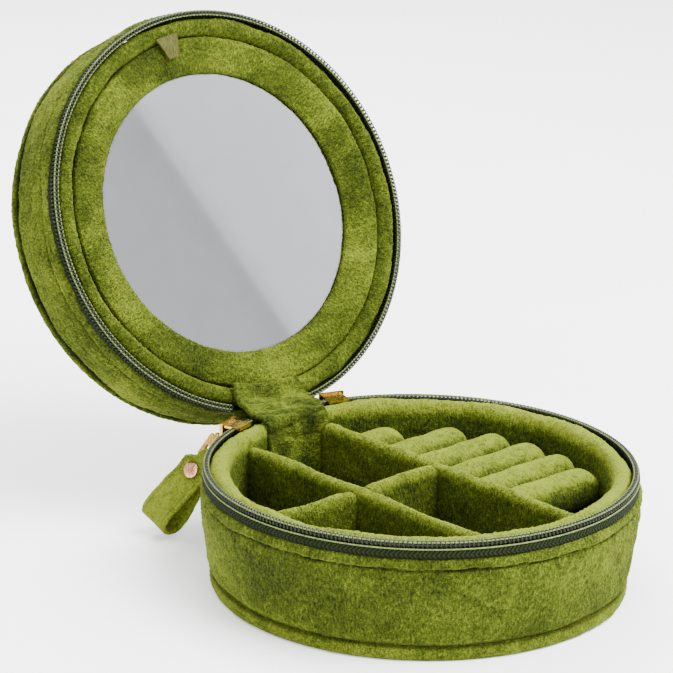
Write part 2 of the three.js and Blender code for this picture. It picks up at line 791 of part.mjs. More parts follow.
function addHingeFabric() {
  add('hinge_strip', hingeStrip(), velvet);
  add('hinge_gusset', hingeGusset(), velvet);
}

function addPull(side) {
  add(`slider_body_${side}`, slider(side), gold);
  add(`pull_ring_${side}`, pullRing(side), gold);
  add(`pull_strap_${side}`, strapLoop(side), velvet);
  add(`strap_rivet_${side}`, rivet(side), roseGold);
}

addBase();
addInsert();
addLid();
addMirrorPanel();
addHingeFabric();
addPull('left');
addPull('right');

export default part;
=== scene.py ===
"""Looks for the round velvet travel jewellery case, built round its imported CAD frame.

Lengths in the shape code are millimetres in the case's own frame; MM turns them into Blender's metres.
Lid pieces are drawn shut over the base, then swung open with the lid hinge's own range.
"""
import json
import math

import bpy
import numpy as np
from mathutils import Matrix, Vector

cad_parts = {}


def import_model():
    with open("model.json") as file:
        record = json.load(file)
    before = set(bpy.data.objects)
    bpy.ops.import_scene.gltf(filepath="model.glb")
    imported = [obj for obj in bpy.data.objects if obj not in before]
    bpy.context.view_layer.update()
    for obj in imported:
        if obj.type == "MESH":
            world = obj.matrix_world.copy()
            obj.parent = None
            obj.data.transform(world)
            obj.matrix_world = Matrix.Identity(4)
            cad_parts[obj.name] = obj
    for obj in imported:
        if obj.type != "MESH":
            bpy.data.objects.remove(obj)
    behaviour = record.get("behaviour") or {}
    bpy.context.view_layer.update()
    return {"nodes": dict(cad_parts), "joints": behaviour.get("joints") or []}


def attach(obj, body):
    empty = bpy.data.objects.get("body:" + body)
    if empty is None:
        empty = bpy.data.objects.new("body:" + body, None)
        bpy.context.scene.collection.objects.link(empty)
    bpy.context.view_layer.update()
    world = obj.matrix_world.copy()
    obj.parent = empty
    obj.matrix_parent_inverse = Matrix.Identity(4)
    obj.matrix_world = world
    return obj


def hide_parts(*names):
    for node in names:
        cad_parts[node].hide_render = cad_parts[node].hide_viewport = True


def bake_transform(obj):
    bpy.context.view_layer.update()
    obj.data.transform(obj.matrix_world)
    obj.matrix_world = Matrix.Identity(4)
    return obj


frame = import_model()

MM = 0.001


# ---- Sizes read from the frame ----

def joint(name):
    return next(j for j in frame["joints"] if j["name"] == name)


def turn_about(point, axis, degrees):
    """A turn about an axis through a point, both in metres."""
    shift = Matrix.Translation(Vector(point))
    return shift @ Matrix.Rotation(math.radians(degrees), 4, Vector(axis)) @ shift.inverted()


lid_joint = joint("lid_hinge")
OPEN_LID = turn_about(lid_joint["pos_m"], lid_joint["axis"], -lid_joint["range_deg"][1])
SHUT_LID = OPEN_LID.inverted()


def corners(node, shut=False):
    """A CAD node's corners in millimetres, with the lid swung shut if asked."""
    points = np.array([v.co for v in frame["nodes"][node].data.vertices], float)
    if shut:
        points = moved(points, SHUT_LID)
    return points / MM


def moved(points, matrix):
    m = np.array(matrix)
    return points @ m[:3, :3].T + m[:3, 3]


class Round:
    """The radii and heights of a CAD node that goes round the case's axis."""

    def __init__(self, node, shut=False):
        points = corners(node, shut)
        radius = np.hypot(points[:, 0], points[:, 1])
        self.inner, self.outer = radius.min(), radius.max()
        self.low, self.high = points[:, 2].min(), points[:, 2].max()
        self.radius, self.z = radius, points[:, 2]

    def outer_at(self, z, reach=1.5):
        near = np.abs(self.z - z) < reach
        return self.radius[near].max()


# ---- Mesh helpers ----

def soft_noise(points, wavelength, seed, waves=10):
    """Smooth random waves from -1 to 1 through space, the same each run."""
    rng = np.random.default_rng(seed)
    total = np.zeros(points.shape[:-1])
    for _ in range(waves):
        direction = rng.normal(size=3)
        direction /= np.linalg.norm(direction)
        length = wavelength * rng.uniform(0.7, 1.5)
        total += np.sin(points @ direction * 2 * math.pi / length + rng.uniform(0, 2 * math.pi))
    return total / math.sqrt(waves) / 1.2


def smooth_step(x, low, high):
    t = np.clip((x - low) / (high - low), 0, 1)
    return t * t * (3 - 2 * t)


def bell(x, centre, width):
    return np.exp(-(((x - centre) / width) ** 2))


def rounded_loop(outline, count, closed=True, passes=3):
    """An outline's corners cut round, then spaced evenly along it."""
    points = np.array(outline, float)
    for _ in range(passes):
        after = np.roll(points, -1, axis=0)
        if closed:
            cut = np.stack([0.75 * points + 0.25 * after, 0.25 * points + 0.75 * after], 1)
            points = cut.reshape(-1, points.shape[1])
        else:
            a, b = points[:-1], points[1:]
            middle = np.stack([0.75 * a + 0.25 * b, 0.25 * a + 0.75 * b], 1).reshape(-1, points.shape[1])
            points = np.vstack([points[:1], middle[1:-1], points[-1:]])
    track = np.vstack([points, points[:1]]) if closed else points
    steps = np.linalg.norm(np.diff(track, axis=0), axis=1)
    along = np.concatenate([[0], np.cumsum(steps)])
    wanted = np.linspace(0, along[-1], count, endpoint=not closed)
    return np.stack([np.interp(wanted, along, track[:, k]) for k in range(points.shape[1])], -1)


def loft(name, rings, closed, marks=None):
    """A closed skin over section loops, rings[station, corner], in millimetres.

    Stations join up if closed, else both ends are capped. marks holds one value per corner for each named
    shading mark.
    """
    stations, size = rings.shape[:2]
    index = np.arange(stations * size).reshape(stations, size)
    rows = stations if closed else stations - 1
    i, j = np.meshgrid(np.arange(rows), np.arange(size), indexing="ij")
    i2, j2 = (i + 1) % stations, (j + 1) % size
    quads = np.stack([index[i, j], index[i, j2], index[i2, j2], index[i2, j]], -1).reshape(-1, 4)
    faces = quads.tolist()
    if not closed:
        faces.append(index[0][::-1].tolist())
        faces.append(index[-1].tolist())
    mesh = bpy.data.meshes.new(name)
    mesh.from_pydata((rings.reshape(-1, 3) * MM).tolist(), [], faces)
    add_surface_map(mesh, rings, rows, size)
    for mark, values in (marks or {}).items():
        layer = mesh.attributes.new(mark, "FLOAT", "POINT")
        spread = np.broadcast_to(values, rings.shape[:2]).astype(np.float32)
        layer.data.foreach_set("value", spread.reshape(-1))
    return placed(name, mesh)


def mesh_piece(name, points, faces):
    """A new piece from points in millimetres."""
    mesh = bpy.data.meshes.new(name)
    mesh.from_pydata((points * MM).tolist(), [], faces)
    return placed(name, mesh)


def placed(name, mesh):
    """A mesh shaded smooth, put in the scene as a piece, with its faces outward."""
    mesh.shade_smooth()
    piece = bpy.data.objects.new(name, mesh)
    bpy.context.scene.collection.objects.link(piece)
    face_outward(piece)
    return piece


def add_surface_map(mesh, rings, rows, size):
    """A map in millimetres along the sweep and round the section, so weaves keep their real size."""
    along = np.linalg.norm(np.diff(rings, axis=0, append=rings[:1]), axis=2).mean(1)
    round_section = np.linalg.norm(np.diff(rings, axis=1, append=rings[:, :1]), axis=2).mean(0)
    u = np.concatenate([[0], np.cumsum(along)])
    v = np.concatenate([[0], np.cumsum(round_section)])
    i, j = np.meshgrid(np.arange(rows), np.arange(size), indexing="ij")
    i, j = i.reshape(-1), j.reshape(-1)
    quad = np.stack([np.stack([u[i], v[j]], -1), np.stack([u[i], v[j + 1]], -1),
                     np.stack([u[i + 1], v[j + 1]], -1), np.stack([u[i + 1], v[j]], -1)], 1)
    values = np.zeros((len(mesh.loops), 2), np.float32)
    values[: quad.shape[0] * 4] = quad.reshape(-1, 2)
    mesh.uv_layers.new(name="surface").data.foreach_set("uv", values.reshape(-1))


def lay_map_flat(mesh):
    """Spreads the surface map evenly over a pad that lies level, straight down its thickness."""
    level = np.array([mesh.vertices[loop.vertex_index].co[:2] for loop in mesh.loops], np.float32)
    mesh.uv_layers["surface"].data.foreach_set("uv", level.reshape(-1) / MM)


def face_outward(piece):
    """Turns the faces round if they enclose a negative volume."""
    mesh = piece.data
    points = np.array([v.co for v in mesh.vertices], float)
    mesh.calc_loop_triangles()
    tri = np.array([t.vertices for t in mesh.loop_triangles])
    a, b, c = points[tri[:, 0]], points[tri[:, 1]], points[tri[:, 2]]
    if np.einsum("ij,ij->i", a, np.cross(b, c)).sum() < 0:
        mesh.flip_normals()


def section_normals(outline):
    """Outward normals of a closed anticlockwise outline."""
    along = np.roll(outline, -1, 0) - np.roll(outline, 1, 0)
    normal = np.stack([along[:, 1], -along[:, 0]], -1)
    return normal / np.maximum(np.linalg.norm(normal, axis=1, keepdims=True), 1e-9)


def signed_area(outline):
    after = np.roll(outline, -1, 0)
    return 0.5 * np.sum(outline[:, 0] * after[:, 1] - after[:, 0] * outline[:, 1])


def around(radius, angle, z):
    """Points on circles about the case's axis; the angle runs anticlockwise from +Y."""
    return np.stack([-radius * np.sin(angle), radius * np.cos(angle), z + 0 * angle], -1)


def soft_ring(name, outline, shape, count=72, steps=480, span=None, lid=False):
    """A padded ring: an outline of [radius, z] carried round the axis.

    shape(point, angle, r, z) gives (swell along the outline's normal, painted shade mark, pile tone and
    painted light mark).
    """
    loop = rounded_loop(outline, count)
    if signed_area(loop) < 0:
        loop = loop[::-1]
    normal = section_normals(loop)
    closed = span is None
    low, high = span or (0, 2 * math.pi)
    angles = np.linspace(low, high, steps, endpoint=not closed)[:, None]
    r, z = loop[None, :, 0], loop[None, :, 1]
    flat = around(r + 0 * angles, angles + 0 * r, z + 0 * angles)
    swell, painted_shade, nap_and_painted_light = shape(flat, angles, r + 0 * angles, z + 0 * angles)
    rings = around(r + swell * normal[None, :, 0], angles + 0 * r, z + swell * normal[None, :, 1])
    marks = {"painted_shade": painted_shade + 0 * swell, "nap_and_painted_light": nap_and_painted_light + 0 * swell}
    piece = loft(name, rings, closed, marks)
    if lid:
        piece.data.transform(OPEN_LID)
    return piece


def finish_piece(piece, body, material, replaces=()):
    """Rides a piece on its body with its material, and what it stands for."""
    piece.data.materials.clear()
    piece.data.materials.append(material)
    if body:
        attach(piece, body)
    if replaces:
        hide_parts(*replaces)
    return piece


# ---- Materials ----

def linear(r, g, b):
    """A display colour, 0 to 255, as the linear values that shaders take."""
    def straighten(c):
        return ((c / 255 + 0.055) / 1.055) ** 2.4 if c > 10 else c / 255 / 12.92

    return (straighten(r), straighten(g), straighten(b), 1.0)


class Shader:
    """A material's node tree, with short calls to add and join nodes."""

    def __init__(self, name):
        self.material = bpy.data.materials.new(name)
        self.material.use_nodes = True
        self.tree = self.material.node_tree
        self.surface = self.tree.nodes["Principled BSDF"]

    def node(self, kind, inputs=None, **settings):
        made = self.tree.nodes.new(kind)
        for key, value in settings.items():
            setattr(made, key, value)
        for key, value in (inputs or {}).items():
            self.feed(made, key, value)
        return made

    def feed(self, node, key, value):
        if isinstance(value, bpy.types.NodeSocket):
            self.tree.links.new(value, node.inputs[key])
        else:
            node.inputs[key].default_value = value

    def sum(self, a, b, operation="ADD"):
        return self.node("ShaderNodeMath", {0: a, 1: b}, operation=operation).outputs[0]

    def clamp(self, value, low, high):
        made = self.node("ShaderNodeMapRange", {"Value": value, "From Min": low, "From Max": high})
        return made.outputs["Result"]

    def position(self):
        """The point on the piece, in millimetres."""
        place = self.node("ShaderNodeTexCoord").outputs["Object"]
        return self.node("ShaderNodeVectorMath", {0: place, "Scale": 1 / MM}, operation="SCALE").outputs[0]

    def surface_map(self):
        """Millimetres along the sweep and round the section."""
        return self.node("ShaderNodeUVMap", uv_map="surface").outputs[0]

    def noise(self, place, scale, detail=2.0, roughness=0.5, distortion=0.0, stretch=None):
        if stretch:
            place = self.node("ShaderNodeMapping", {"Vector": place, "Scale": stretch}).outputs[0]
        made = self.node("ShaderNodeTexNoise", {"Vector": place, "Scale": scale, "Detail": detail,
                                                "Roughness": roughness, "Distortion": distortion})
        return made.outputs[0]

    def ramp(self, value, stops):
        made = self.node("ShaderNodeValToRGB", {"Fac": value})
        band = made.color_ramp
        while len(band.elements) < len(stops):
            band.elements.new(0.5)
        for element, (place, colour) in zip(band.elements, stops):
            element.position = place
            element.color = colour
        return made.outputs["Color"]

    def mark(self, name):
        return self.node("ShaderNodeAttribute", attribute_name=name, attribute_type="GEOMETRY").outputs["Fac"]

    def mix(self, factor, a, b, blend="MIX"):
        made = self.node("ShaderNodeMix", data_type="RGBA", blend_type=blend)
        self.feed(made, 0, factor)
        self.feed(made, 6, a)
        self.feed(made, 7, b)
        return made.outputs[2]

    def bump(self, height, distance, strength=1.0):
        made = self.node("ShaderNodeBump", {"Height": height, "Distance": distance, "Strength": strength})
        self.feed(self.surface, "Normal", made.outputs[0])


LOCK_STRETCH = (1.7, 0.75, 1.0)


def velvet(name, dark, middle, light, pile=(1.0, 1.0, 1.0), clouds=0.45):
    """Short-pile velvet: patches where the pile lies towards or away, locks of fibres and single fibres; a
    painted sheen at grazing angles, per-piece painted light, and painted shade in creases and recesses.
    """
    s = Shader(name)
    place = s.position()
    layers = [
        (s.noise(place, 0.07, detail=2.0, distortion=1.2), clouds),
        (s.noise(place, 0.3, detail=3.0, roughness=0.6, distortion=0.9, stretch=pile), 0.55),
        (s.noise(s.surface_map(), 1.0, detail=2.0, roughness=0.55, distortion=0.35,
                 stretch=LOCK_STRETCH), 0.85),
        (s.noise(place, 3.0, detail=1.0, roughness=0.6), 0.85),
    ]
    # Each piece's mark shifts the pile tone: random patches, plus painted light that makes tops and lit faces
    # lighter and shaded faces darker.
    lay = s.sum(0.46, s.mark("nap_and_painted_light"))
    for layer, weight in layers:
        lay = s.sum(lay, s.sum(s.sum(layer, 0.5, "SUBTRACT"), weight, "MULTIPLY"))
    # Painted sheen: the colour grows lighter towards grazing angles.
    facing = s.node("ShaderNodeLayerWeight", {"Blend": 0.35}).outputs["Facing"]
    lay = s.sum(lay, s.sum(s.clamp(facing, 0.1, 0.95), 0.32, "MULTIPLY"))
    colour = s.ramp(lay, [(0.14, dark), (0.52, middle), (0.98, light)])
    # Painted shade: this mark darkens the colour towards near-black green in seams, folds, undersides and
    # recesses.
    colour = s.mix(s.mark("painted_shade"), colour, tuple(0.3 * c for c in dark[:3]) + (1.0,))
    s.feed(s.surface, "Base Color", colour)
    s.surface.inputs["Roughness"].default_value = 0.95
    s.surface.inputs["Specular IOR Level"].default_value = 0.06
    s.surface.inputs["Sheen Weight"].default_value = 0.12
    s.surface.inputs["Sheen Roughness"].default_value = 0.4
    s.surface.inputs["Sheen Tint"].default_value = light
    height = s.sum(s.sum(layers[2][0], 1.0, "MULTIPLY"), s.sum(layers[3][0], 0.55, "MULTIPLY"))
    height = s.sum(height, s.sum(layers[1][0], 0.9, "MULTIPLY"))
    s.bump(height, 0.7 * MM)
    return s.material


RIB_PITCH = 1.15


def woven_tape(name, dark, light):
    """Herringbone twill: slanting ribs that change direction in bands."""
    s = Shader(name)
    split = s.node("ShaderNodeSeparateXYZ", {"Vector": s.surface_map()})
    band = s.sum(s.sum(split.outputs["Y"], 1.5, "PINGPONG"), 0.9, "MULTIPLY")
    slant = s.sum(split.outputs["X"], band)
    phase = s.sum(slant, 2 * math.pi / RIB_PITCH, "MULTIPLY")
    rib = s.node("ShaderNodeMath", {0: phase}, operation="SINE").outputs[0]
    yarn = s.noise(s.position(), 3.0, detail=2.0)
    value = s.sum(s.sum(rib, 0.38, "MULTIPLY"), yarn)
    colour = s.ramp(value, [(0.2, dark), (0.9, light)])
    # Painted shade: darker where the tape tucks under the wall's top.
    colour = s.mix(s.mark("painted_shade"), colour, tuple(0.2 * c for c in dark[:3]) + (1.0,))
    s.feed(s.surface, "Base Color", colour)
    s.surface.inputs["Roughness"].default_value = 0.95
    s.surface.inputs["Specular IOR Level"].default_value = 0.1
    s.bump(s.sum(rib, s.sum(yarn, 0.5, "MULTIPLY")), 0.12 * MM)
    return s.material


def nylon(name, dark, light, roughness=0.38):
    """Moulded filament: slight colour changes and dull scuffs."""
    s = Shader(name)
    scuffs = s.noise(s.position(), 1.4, detail=3.0)
    s.feed(s.surface, "Base Color", s.ramp(scuffs, [(0.3, dark), (0.75, light)]))
    s.feed(s.surface, "Roughness", s.node("ShaderNodeMapRange", {
        "Value": scuffs, "To Min": roughness - 0.1, "To Max": roughness + 0.2}).outputs["Result"])
    s.surface.inputs["Specular IOR Level"].default_value = 0.22
    s.bump(scuffs, 0.05 * MM, 0.5)
    return s.material


def plated(name, colour, worn):
    """Polished plating with fine rubbing marks and a duller worn tone."""
    s = Shader(name)
    rub = s.noise(s.position(), 0.9, detail=4.0, stretch=(1.0, 5.0, 1.0))
    s.feed(s.surface, "Base Color", s.ramp(rub, [(0.35, worn), (0.65, colour)]))
    s.surface.inputs["Metallic"].default_value = 1.0
    s.feed(s.surface, "Roughness", s.node("ShaderNodeMapRange", {
        "Value": rub, "To Min": 0.16, "To Max": 0.34}).outputs["Result"])
    s.bump(rub, 0.02 * MM, 0.4)
    return s.material


def silvered_glass(name):
    """A mirror with faint wiping marks."""
    s = Shader(name)
    smear = s.noise(s.position(), 0.06, detail=3.0, distortion=1.0)
    tones = [(0.3, linear(226, 227, 231)), (0.8, linear(233, 234, 236))]
    s.feed(s.surface, "Base Color", s.ramp(smear, tones))
    s.surface.inputs["Metallic"].default_value = 1.0
    s.feed(s.surface, "Roughness", s.node("ShaderNodeMapRange", {
        "Value": smear, "To Min": 0.015, "To Max": 0.035}).outputs["Result"])
    return s.material


def satin(name, dark, light):
    """Smooth ribbon: fine ribs across it and a soft shine."""
    s = Shader(name)
    place = s.position()
    ribs = s.noise(place, 2.6, detail=1.0, stretch=(1.0, 0.25, 0.25))
    s.feed(s.surface, "Base Color", s.ramp(ribs, [(0.3, dark), (0.75, light)]))
    s.surface.inputs["Roughness"].default_value = 0.5
    s.surface.inputs["Specular IOR Level"].default_value = 0.12
    s.bump(ribs, 0.05 * MM)
    return s.material


def pressed_board(name):
    """Greyboard: mottled fibres."""
    s = Shader(name)
    fibre = s.noise(s.position(), 1.2, detail=4.0)
    tones = [(0.3, linear(112, 105, 88)), (0.7, linear(152, 145, 126))]
    s.feed(s.surface, "Base Color", s.ramp(fibre, tones))
    s.surface.inputs["Roughness"].default_value = 0.9
    s.bump(fibre, 0.1 * MM)
    return s.material


DARK, MIDDLE, LIGHT = linear(17, 24, 3), linear(54, 64, 12), linear(103, 114, 32)
VELVET = velvet("velvet_olive", DARK, MIDDLE, LIGHT)
COMBED = velvet("velvet_combed", DARK, MIDDLE, LIGHT, pile=(0.4, 1.0, 1.0), clouds=0.5)
# Painted shade: a darker copy of the same velvet for pieces in shadowed places, inside the base, under the
# case, in the lid and behind the mirror.
PAINTED_SHADE_VELVET = velvet("velvet_painted_shade", linear(13, 18, 3), linear(43, 52, 9), linear(84, 94, 24))
TAPE = woven_tape("zip_tape_twill", linear(7, 12, 3), linear(26, 35, 10))
NYLON = nylon("zip_nylon", linear(8, 12, 4), linear(24, 33, 10))
THREAD = nylon("zip_thread", linear(66, 78, 38), linear(108, 118, 66), roughness=0.8)
GOLD = plated("gold_plate", linear(206, 170, 84), linear(150, 118, 46))
ROSE_GOLD = plated("rose_gold_plate", linear(206, 150, 124), linear(150, 100, 78))
MIRROR = silvered_glass("mirror_silver")
SATIN = satin("tab_satin", linear(38, 38, 2), linear(66, 66, 6))
BOARD = pressed_board("greyboard")


# ---- Base and lid shells ----

liner = Round("base_rim_liner")
wall = Round("base_outer_wall")
lid_wall = Round("lid_outer_wall", shut=True)
base_tape = Round("base_zip_tape")
base_teeth = Round("base_zip_teeth")
lid_teeth = Round("lid_zip_teeth", shut=True)
RIM_Z = (base_teeth.high + lid_teeth.low) / 2
SEAM_BELOW_TAPE = 3.1
STITCH_PITCH = 3.2
TUCK = 1.7


def fuzz(points, amount=0.1, seed=7):
    """Uneven pile height, corner by corner, for a soft outline."""
    rng = np.random.default_rng(seed)
    return amount * rng.normal(size=points.shape[:-1])


def pile(points, seed, soft=0.3):
    """The slow swell of padding under velvet, with small dents and fuzz."""
    return (soft * soft_noise(points, 26, seed) + 0.3 * soft * soft_noise(points, 7, seed + 1)
            + fuzz(points, seed=seed))


def along_noise(angle, radius, wavelength, seed):
    """Waves that run round the case and meet themselves."""
    return soft_noise(around(radius, angle, 0 * angle), wavelength, seed)


def seam_puckers(angle, radius, seed):
    """How strongly a stitched seam pulls in, place by place along it."""
    stitches = 0.5 + 0.5 * np.cos(angle * round(2 * math.pi * radius / STITCH_PITCH))
    return (0.62 + 0.38 * stitches) * (0.85 + 0.25 * along_noise(angle, radius, 14, seed))


def seam_height(angle, radius, level, seed):
    """A seam's height, which wanders a little from stitch to stitch."""
    slow = 0.22 * along_noise(angle, radius, 9, seed)
    quick = 0.12 * along_noise(angle, radius, 3.4, seed + 1)
    return level + slow + quick


def base_wall():
    low, high = wall.low, wall.high
    foot, top = wall.outer_at(low), wall.outer
    seam = base_tape.low - SEAM_BELOW_TAPE
    waist = wall.outer_at((low + high) / 2, 4)
    inside = foot - 1.5
    outline = [(inside, low - 0.1), (foot - 0.5, low - 0.2), (foot + 0.35, low + 1.2), (foot + 0.9, low + 4),
               (waist + 0.3, (low + high) / 2), (top + 0.1, seam - 4), (top + 0.15, seam - 1.2),
               (top - 0.1, seam), (top + 0.3, seam + 1.2), (top + 0.2, high - 0.7), (top - 0.5, high),
               (top - 1.6, high), (top - 1.7, seam), (waist - 1.4, (low + high) / 2)]

    def shape(points, angle, r, z):
        outer = smooth_step(r, inside + 0.6, inside + 1.2)
        pull = seam_puckers(angle, top, 3)
        line = seam_height(angle, top, seam, 8)
        groove = bell(z, line, 0.34) * outer
        foot_seam = bell(z, low - 0.1, 0.5) * outer
        swell = outer * pile(points, 11, 0.34)
        swell -= 0.9 * groove * pull
        swell += 0.3 * outer * bell(z, line + 0.9, 0.6) - 0.22 * outer * bell(z, line - 1.6, 1.3) * pull
        # Painted shade in the seam's groove and along the foot seam.
        painted_shade = np.minimum(1, 1.3 * bell(z, line - 0.1, 0.26) * outer * pull + 0.9 * foot_seam)
        return swell, painted_shade, 0.10 * soft_noise(points, 34, 12)

    piece = soft_ring("base_outer_wall_velvet", outline, shape, count=110, steps=620)
    finish_piece(piece, "base", VELVET, ["base_outer_wall"])


def base_welt():
    welt = Round("base_bottom_welt")
    inside, outside = welt.inner, welt.outer
    outline = [(inside, 0.25), (inside + 0.5, 0.1), (outside - 0.4, 0.15), (outside + 0.15, 0.9),
               (outside + 0.25, 2.4), (outside - 0.1, welt.high - 0.5), (outside - 0.6, welt.high - 0.1),
               (inside, welt.high - 0.1)]

    def shape(points, angle, r, z):
        outer = smooth_step(r, inside + 0.5, outside)
        # Painted shade under the wall's edge and where the welt meets the floor.
        painted_shade = outer * bell(z, welt.high, 0.7) + 0.5 * bell(z, 0, 0.5)
        return outer * (z > 0.6) * pile(points, 21, 0.16), painted_shade, 0.16 + 0 * z

    piece = soft_ring("base_bottom_welt_velvet", outline, shape, count=48)
    finish_piece(piece, "base", VELVET, ["base_bottom_welt"])


def lining(name, measured, body, seed, mirrored=False):
    """The padded lip and the lining below it, drawn for the base and flipped up for the lid."""
    inner, back = measured.inner, measured.inner + 1.6
    outer = measured.outer
    flip = 2 * RIM_Z if mirrored else 0
    top = flip - measured.low if mirrored else measured.high
    bottom = flip - measured.high if mirrored else measured.low
    outline = [(inner, bottom), (back, bottom), (back, top - 4.4), (outer + 0.2, top - 3.2),
               (outer + 0.75, top - 1.8), (outer + 0.55, top - 0.5), (outer - 0.6, top + 0.25),
               (inner + 2.4, top + 0.35), (inner + 0.9, top - 0.2),
               (inner + 0.1, top - 1.5), (inner - 0.1, top - 4), (inner - 0.1, top - 12)]
    if mirrored:
        outline = [(r, flip - z) for r, z in outline]

    def shape(points, angle, r, z):
        level = flip - z if mirrored else z
        lip = smooth_step(level, top - 5, top - 1)
        seen = 1 - smooth_step(r, back - 0.5, back - 0.1) * (1 - lip)
        swell = seen * (pile(points, seed, 0.22) + 0.25 * lip * soft_noise(points, 15, seed + 5))
        # Painted shade on the lip's outer side; painted light makes the base's lip lighter than the lid's and
        # the lining below each lip darker.
        painted_shade = 0.55 * lip * bell(r, outer + 0.9, 0.55)
        return swell, painted_shade, (-0.02 if mirrored else 0.36) * lip - 0.16 * (1 - lip)

    piece = soft_ring(f"{name}_velvet", outline, shape, count=96, steps=560, lid=mirrored)
    finish_piece(piece, body, VELVET, [name])


def lid_shell_wall():
    low, high = lid_wall.low - TUCK, lid_wall.high
    outer = lid_wall.outer
    seam = lid_wall.low + SEAM_BELOW_TAPE - 0.4
    inside = outer - 1.9
    outline = [(inside, low), (outer - 0.5, low), (outer + 0.1, low + 0.7), (outer + 0.25, seam - 1.1),
               (outer - 0.1, seam), (outer + 0.1, seam + 1.2), (outer + 0.35, (low + high) / 2),
               (outer + 0.1, high - 3),
               (outer - 0.1, high - 1.2), (outer - 0.5, high + 0.1), (inside, high + 0.1)]

    def shape(points, angle, r, z):
        skin = smooth_step(r, inside + 0.6, inside + 1.2)
        pull = seam_puckers(angle, outer, 5)
        line = seam_height(angle, outer, seam, 35)
        groove = bell(z, line, 0.36) * skin
        cap_seam = bell(z, high, 0.55) * skin
        swell = skin * pile(points, 31, 0.32) - 0.75 * groove * pull
        # Painted shade in the seam's groove and under the cap's welt.
        painted_shade = 0.8 * bell(z, line, 0.26) * skin * pull + 0.9 * cap_seam
        return swell, painted_shade, 0.10 * soft_noise(points, 30, 33)

    piece = soft_ring("lid_outer_wall_velvet", outline, shape, count=110, steps=620, lid=True)
    finish_piece(piece, "lid", VELVET, ["lid_outer_wall"])


# The height above the floor, with the lid shut, at which its welt stands out furthest
LID_WELT_PROUDEST = 55


def lid_welt():
    welt = Round("lid_cap_welt", shut=True)
    inside, outside = welt.inner, welt.outer
    outline = [(inside, welt.low), (outside - 0.6, welt.low + 0.1), (outside + 0.1, welt.low + 0.8),
               (outside + 0.25, LID_WELT_PROUDEST), (outside - 0.2, welt.high - 0.4),
               (outside - 1.2, welt.high + 0.1), (inside, welt.high - 0.2)]

    def shape(points, angle, r, z):
        skin = smooth_step(r, inside + 0.3, inside + 1)
        # Painted shade along the welt's lower edge and its inner edge.
        painted_shade = skin * bell(z, welt.low, 0.7) + 0.8 * bell(r, inside, 0.5)
        return skin * pile(points, 41, 0.14), painted_shade, 0.02 + 0 * z

    piece = soft_ring("lid_cap_welt_velvet", outline, shape, count=48, lid=True)
    finish_piece(piece, "lid", VELVET, ["lid_cap_welt"])


def pad(name, node, body, material, outline=None, crown=0.0, shut=False, face_down=False,
        edge_painted_shade=0.8, grain=0.16, seed=51):
    """A flat pad with a crowned face: outlines that grow from its middle, turn the edge, and shrink back.

    A pad that faces down never reaches below its own face.
    """
    size = Round(node, shut)
    face, back = (size.low, size.high) if face_down else (size.high, size.low)
    up = -1 if face_down else 1
    thickness = size.high - size.low
    if outline is None:
        turn = np.linspace(0, 2 * math.pi, 360, endpoint=False)
        outline = around(size.outer, turn, 0 * turn)[:, :2]
    centre = outline.mean(0)
    reach = np.linalg.norm(outline - centre, axis=1).mean()
    rounding = min(0.9, 0.45 * thickness)
    out_to = np.linspace(0.002, 1 - rounding / reach, 90)
    turned = 1 - rounding / reach * (1 - np.sin(np.radians([25, 50, 75, 90])))
    drop = rounding * (1 - np.cos(np.radians([25, 50, 75, 90])))
    back_to = np.array([1.0, 1 - 0.5 * rounding / reach, 0.9, 0.5, 0.002])
    scale = np.concatenate([out_to, turned, back_to])
    level = np.concatenate([face + up * crown * (1 - out_to ** 2), face - up * drop,
                            np.array([back + up * 0.3 * rounding] + [back] * 4)])
    flat = centre + (outline - centre)[None] * scale[:, None, None]
    rings = np.concatenate([flat, np.broadcast_to(level[:, None, None], flat.shape[:2] + (1,))], -1)
    on_face = np.zeros(scale.shape)
    on_face[: len(out_to)] = smooth_step((1 - out_to) * reach, 0, 2)
    rings[..., 2] += up * on_face[:, None] * pile(rings, seed, grain)
    if face_down:
        rings[..., 2] = np.maximum(rings[..., 2], face)
    # Painted shade round the pad's edge, where it meets its neighbours.
    edge = bell(scale * reach, reach, 0.9)[:, None] + np.zeros(flat.shape[:2])
    marks = {"painted_shade": edge_painted_shade * edge, "nap_and_painted_light": 0.1 * soft_noise(rings, 30, seed + 3)}
    piece = loft(name, rings, False, marks)
    lay_map_flat(piece.data)
    if shut:
        piece.data.transform(OPEN_LID)
    return finish_piece(piece, body, material, [node])


# ---- Zip ----

def zip_tape(name, measured, body, seed, lid=False):
    """The woven tape: a thin sloping band with its lower edge tucked under the wall's top."""
    flip = 2 * RIM_Z
    span = chain_span(name)
    top, low = (flip - measured.low, flip - measured.high) if lid else (measured.high, measured.low)
    outer = measured.outer - (0.25 if lid else 0)
    inner = base_teeth.outer - 0.2
    outline = [(outer - 1.1, low - 0.2), (outer - 0.1, low - 0.2), (outer, low + 0.3),
               (inner + 0.35, top + 0.1), (inner, top + 0.45), (inner - 0.7, top + 0.4), (inner - 0.9, top)]
    if lid:
        outline = [(r, flip - z) for r, z in outline]

    def shape(points, angle, r, z):
        level = flip - z if lid else z
        # Painted shade along the lower edge, where it tucks under the wall.
        return 0.05 * soft_noise(points, 12, seed), 0.8 * bell(level, low - 0.2, 0.5), 0 * z

    piece = soft_ring(f"{name}_twill", outline, shape, count=40, steps=560, span=span, lid=lid)
    finish_piece(piece, body, TAPE, [name])


def chain_span(node):
    """The zip chain's end angles, from the gap that the CAD leaves at the hinge."""
    points = corners(node, shut=node.startswith("lid"))
    turn = np.arctan2(-points[:, 0], points[:, 1]) % (2 * math.pi)
    return turn.min(), turn.max()


TOOTH_PITCH = 1.12


